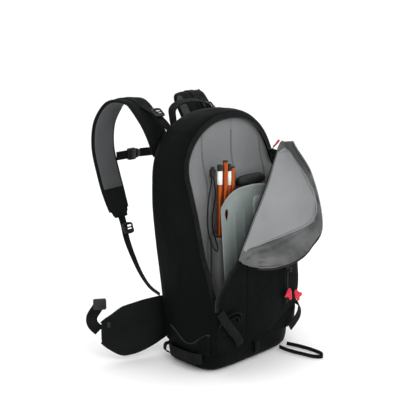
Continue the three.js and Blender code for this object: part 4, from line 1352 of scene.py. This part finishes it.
for word, side in SIDES:
    body = f"strap_{word}"
    pad = puffed(welded(show(f"pad_{word}", *pillow(pad_shape(side), PAD_THICK, 120, 24), PADDING, body,
                             [f"shoulder_pad_{word}"], "padded_mesh")), pad_shape(side))
    inside = np.sign(np.dot(pad_frames(side)[60][2], vec(0, -1, 0)))
    show(f"pad_mesh_{word}", *thick_sheet(face_sheet(pad, side, inside, 0.84, 0.5), 0.7), MESH_GREY, body)
    for b in (-0.99, 0.99):
        edge = "in" if b < 0 else "out"
        show(f"pad_binding_{word}_{edge}", *tube(pad_line(side, b * 0.97, 1)[0], 2.6, 200, 8), WEBBING, body)
    sewn(f"pad_stitching_{word}",
         [laid_on(pad, *pad_line(side, b, inside), 0.8) for b in (-0.88, 0.88)], body)
    daisy = laid_on(pad, *pad_line(side, 0.0, -inside, 0.1, 0.9), 1.0)
    web(f"pad_webbing_{word}", daisy, 20, 1.6, [[1, 0, 0]], 120, body=body)
    web(f"shoulder_web_{word}", sided(WEB_PATH, side), 20, 1.8, [[1, 0, 0], [0.7, 0.7 * -side, 0]], 70,
        body=body, node=f"shoulder_webbing_{word}")
    web(f"lifter_web_{word}", sided(LIFTER_PATH, side), 20, 1.8, [[1, 0, 0]], 40, body=body,
        node=f"load_lifter_{word}")
    moulded(f"lifter_buckle_{word}", ladder_lock((side * 82, 118, 544.5), (0, -0.62, 0.78)), body,
            f"lifter_lock_{word}")
    moulded(f"lower_buckle_{word}", ladder_lock((side * 147, 152, 286), (0, -0.93, 0.36)), body,
            f"lower_lock_{word}")

STERNUM_Z, STERNUM_Y = 440, 214
STERNUM_BUCKLE_X, STERNUM_CLIP_X = -70, 103.5
for word, ends in (("left", ((-122, 0), (-106, 0), (STERNUM_BUCKLE_X - 19, 0))),
                   ("right", ((STERNUM_BUCKLE_X + 19, 0), (28, -3), (97, 0)))):
    path = [(x, STERNUM_Y, STERNUM_Z + sag) for x, sag in ends]
    web(f"sternum_web_{word}", path, 20, 1.8, [[0, 0, 1]], 40, body="strap_left",
        node=f"sternum_webbing_{word}")
PRONG = [(-5, -3), (5, -4.5), (9, -8.5), (12, -7), (12, -2), (7, 2.4), (-5, 2.4)]
STERNUM_SOCKET = [(-7, 0, 0.2, rounded_plate(23, 27, 4), 7.4), (10.5, 0, 0.6, rounded_plate(15, 17, 3), 6.6),
                  (4, 8.5, 1.4, PRONG, 5), (4, -8.5, 1.4, [(u, -v) for u, v in PRONG[::-1]], 5)]
STERNUM_CLIP = [(0, 0, 0.2, rounded_plate(10.5, 29, 2.5), 6.4)]
for name, node, x, set_back, items in (
        ("sternum_buckle_shell", "sternum_buckle", STERNUM_BUCKLE_X, 4, STERNUM_SOCKET),
        ("sternum_clip_shell", "sternum_clip", STERNUM_CLIP_X, 3, STERNUM_CLIP)):
    middle = (x, STERNUM_Y - set_back, STERNUM_Z)
    moulded(name, plate_parts(middle, (1, 0, 0), (0, 1, 0), items), "strap_left", node)

# ---- Hip belt ------------------------------------------------------------------------------------
WING_PATH = [(-102, 79, 87), (-118, 82, 84), (-150, 88, 78), (-190, 100, 71), (-226, 117, 68),
             (-250, 134, 70)]


def wing_shape(side, count=80):
    centres, tangents = curve(sided(WING_PATH, side), count)

    def at(s, t):
        i = int(round(s * count))
        c, tangent = centres[i], tangents[i]
        u = i / count
        half = 49 * (1 - 0.42 * smooth((u - 0.66) / 0.34)) + 12 * math.sin(math.pi * u)
        half *= 1 - 0.22 * clamp01((u - 0.9) / 0.1) ** 2
        normal = unit(vec(tangent[1], -tangent[0], 0)) * -side
        share = 2 * t - 1
        belly = 12 * (1 - share * share) * math.sin(math.pi * clamp01(u * 1.05))
        return c + vec(0, 0, half * share) + normal * (belly - 7.5), normal
    return at


BELT_HALF = [(0, 0, 0.2, rounded_plate(29, 25, 4), 6.4), (0, 0, 6.2, rounded_plate(17, 12, 3), 0.7)]
BELT_TIP = [(-251, 136, 72), (-261, 146, 88), (-262, 147, 104), (-255, 142, 119), (-248, 137.5, 131)]
for word, side in SIDES:
    body = f"wing_{word}"
    shape = wing_shape(side)
    wing = puffed(welded(show(f"wing_{word}_pad", *pillow(shape, 14, 80, 40, 3.0), PADDING, body,
                              [f"hipbelt_wing_{word}"], "padded_mesh")), shape)
    for edge in (0.0, 1.0):
        rim = [shape(i / 80, 0.02 + 0.96 * edge)[0] for i in range(1, 80, 3)]
        show(f"wing_{word}_binding_{int(edge)}", *tube(rim, 2.4, 160, 8), WEBBING, body)
    places = [shape(0.12 + 0.8 * i / 20, 0.74 + 0.07 * math.sin(math.pi * i / 20)) for i in range(21)]
    pocket = laid_on(wing, [p for p, _ in places], [n for _, n in places], 0.9)
    web(f"wing_{word}_zip", pocket, 11, 1.4, [[0, 0, 1]], 90, 0.0, body)
    show(f"wing_{word}_zip_teeth", *teeth([p + shape(0.5, 0.76)[1] * 1.0 for p in pocket],
                                          lambda t: vec(0, 0, 1), 2.2), ZIP, body)
    tip = f"belt_{word}"
    web(f"belt_web_{word}", sided(BELT_TIP, side), 25, 1.8, [[-0.82 * -side, 0.57, 0]], 30, body=tip,
        node=f"hipbelt_webbing_{word}")
    half = plate_parts((side * 247, 137, 134), (0.82, side * 0.57, 0), (side * 0.57, -0.82, 0), BELT_HALF)
    moulded(f"belt_buckle_{word}", half, tip, f"hipbelt_buckle_{word}")
moulded("hip_slider_body", slider_shape((-246, 108, 92), (-0.57, -0.82, 0), (0, 0, 1)), "hip_slider",
        "hip_pocket_slider", ZIP)

# ---- Floor, light and camera ---------------------------------------------------------------------


FLOOR_HALF = 80.0


def floor():
    size = FLOOR_HALF
    mesh = bpy.data.meshes.new("floor")
    corners = [(-size, -size, 0), (size, -size, 0), (size, size, 0), (-size, size, 0)]
    mesh.from_pydata(corners, [], [(0, 1, 2, 3)])
    mat, tree, shader = new_material("floor_white", (0.93, 0.93, 0.93), 0.9)
    coords = add_node(tree, "ShaderNodeTexCoord").outputs["Object"]
    tint(tree, shader, grain(tree, coords, 2.0), (0.92, 0.92, 0.92), (0.94, 0.94, 0.94))
    mesh.materials.append(mat)
    obj = bpy.data.objects.new("floor", mesh)
    bpy.context.collection.objects.link(obj)


def lamp(name, place, aim, size, power, color=(1, 1, 1)):
    data = bpy.data.lights.new(name, "AREA")
    data.shape, data.size, data.energy, data.color = "DISK", size, power, color
    obj = bpy.data.objects.new(name, data)
    obj.location = place
    obj.rotation_euler = (Vector(aim) - Vector(place)).to_track_quat("-Z", "Y").to_euler()
    bpy.context.collection.objects.link(obj)


def sky(strength):
    world = bpy.data.worlds.new("studio")
    bpy.context.scene.world = world
    world.use_nodes = True
    backdrop = world.node_tree.nodes["Background"]
    backdrop.inputs["Color"].default_value = (1, 1, 1, 1)
    backdrop.inputs["Strength"].default_value = strength


CAMERA_AZIMUTH, CAMERA_ELEVATION, CAMERA_DISTANCE = -46, 13.5, 2.2
AIM_HEIGHT, AIM_LEFT, AIM_UP = 0.27, 0.0295, 0.061


def camera():
    azimuth, elevation = math.radians(CAMERA_AZIMUTH), math.radians(CAMERA_ELEVATION)
    away = Vector((math.sin(azimuth) * math.cos(elevation), -math.cos(azimuth) * math.cos(elevation),
                   math.sin(elevation)))
    right = Vector((math.cos(azimuth), math.sin(azimuth), 0))
    up = away.cross(right)
    aim = Vector((0, 0, AIM_HEIGHT)) - right * AIM_LEFT + up * AIM_UP
    data = bpy.data.cameras.new("camera")
    data.sensor_width, data.lens = 36, 83.9
    obj = bpy.data.objects.new("camera", data)
    obj.location = aim + away * CAMERA_DISTANCE
    obj.rotation_euler = (-away).to_track_quat("-Z", "Y").to_euler()
    bpy.context.collection.objects.link(obj)
    bpy.context.scene.camera = obj


floor()
sky(1.1)
lamp("key", (-0.9, -1.9, 2.2), (0, 0, 0.25), 1.4, 15)
lamp("fill", (1.9, -1.4, 1.1), (0, 0, 0.3), 1.6, 5)
lamp("top", (0.2, 0.5, 2.6), (0, 0, 0.3), 1.6, 13)
camera()
bpy.context.scene.view_settings.view_transform = "Standard"
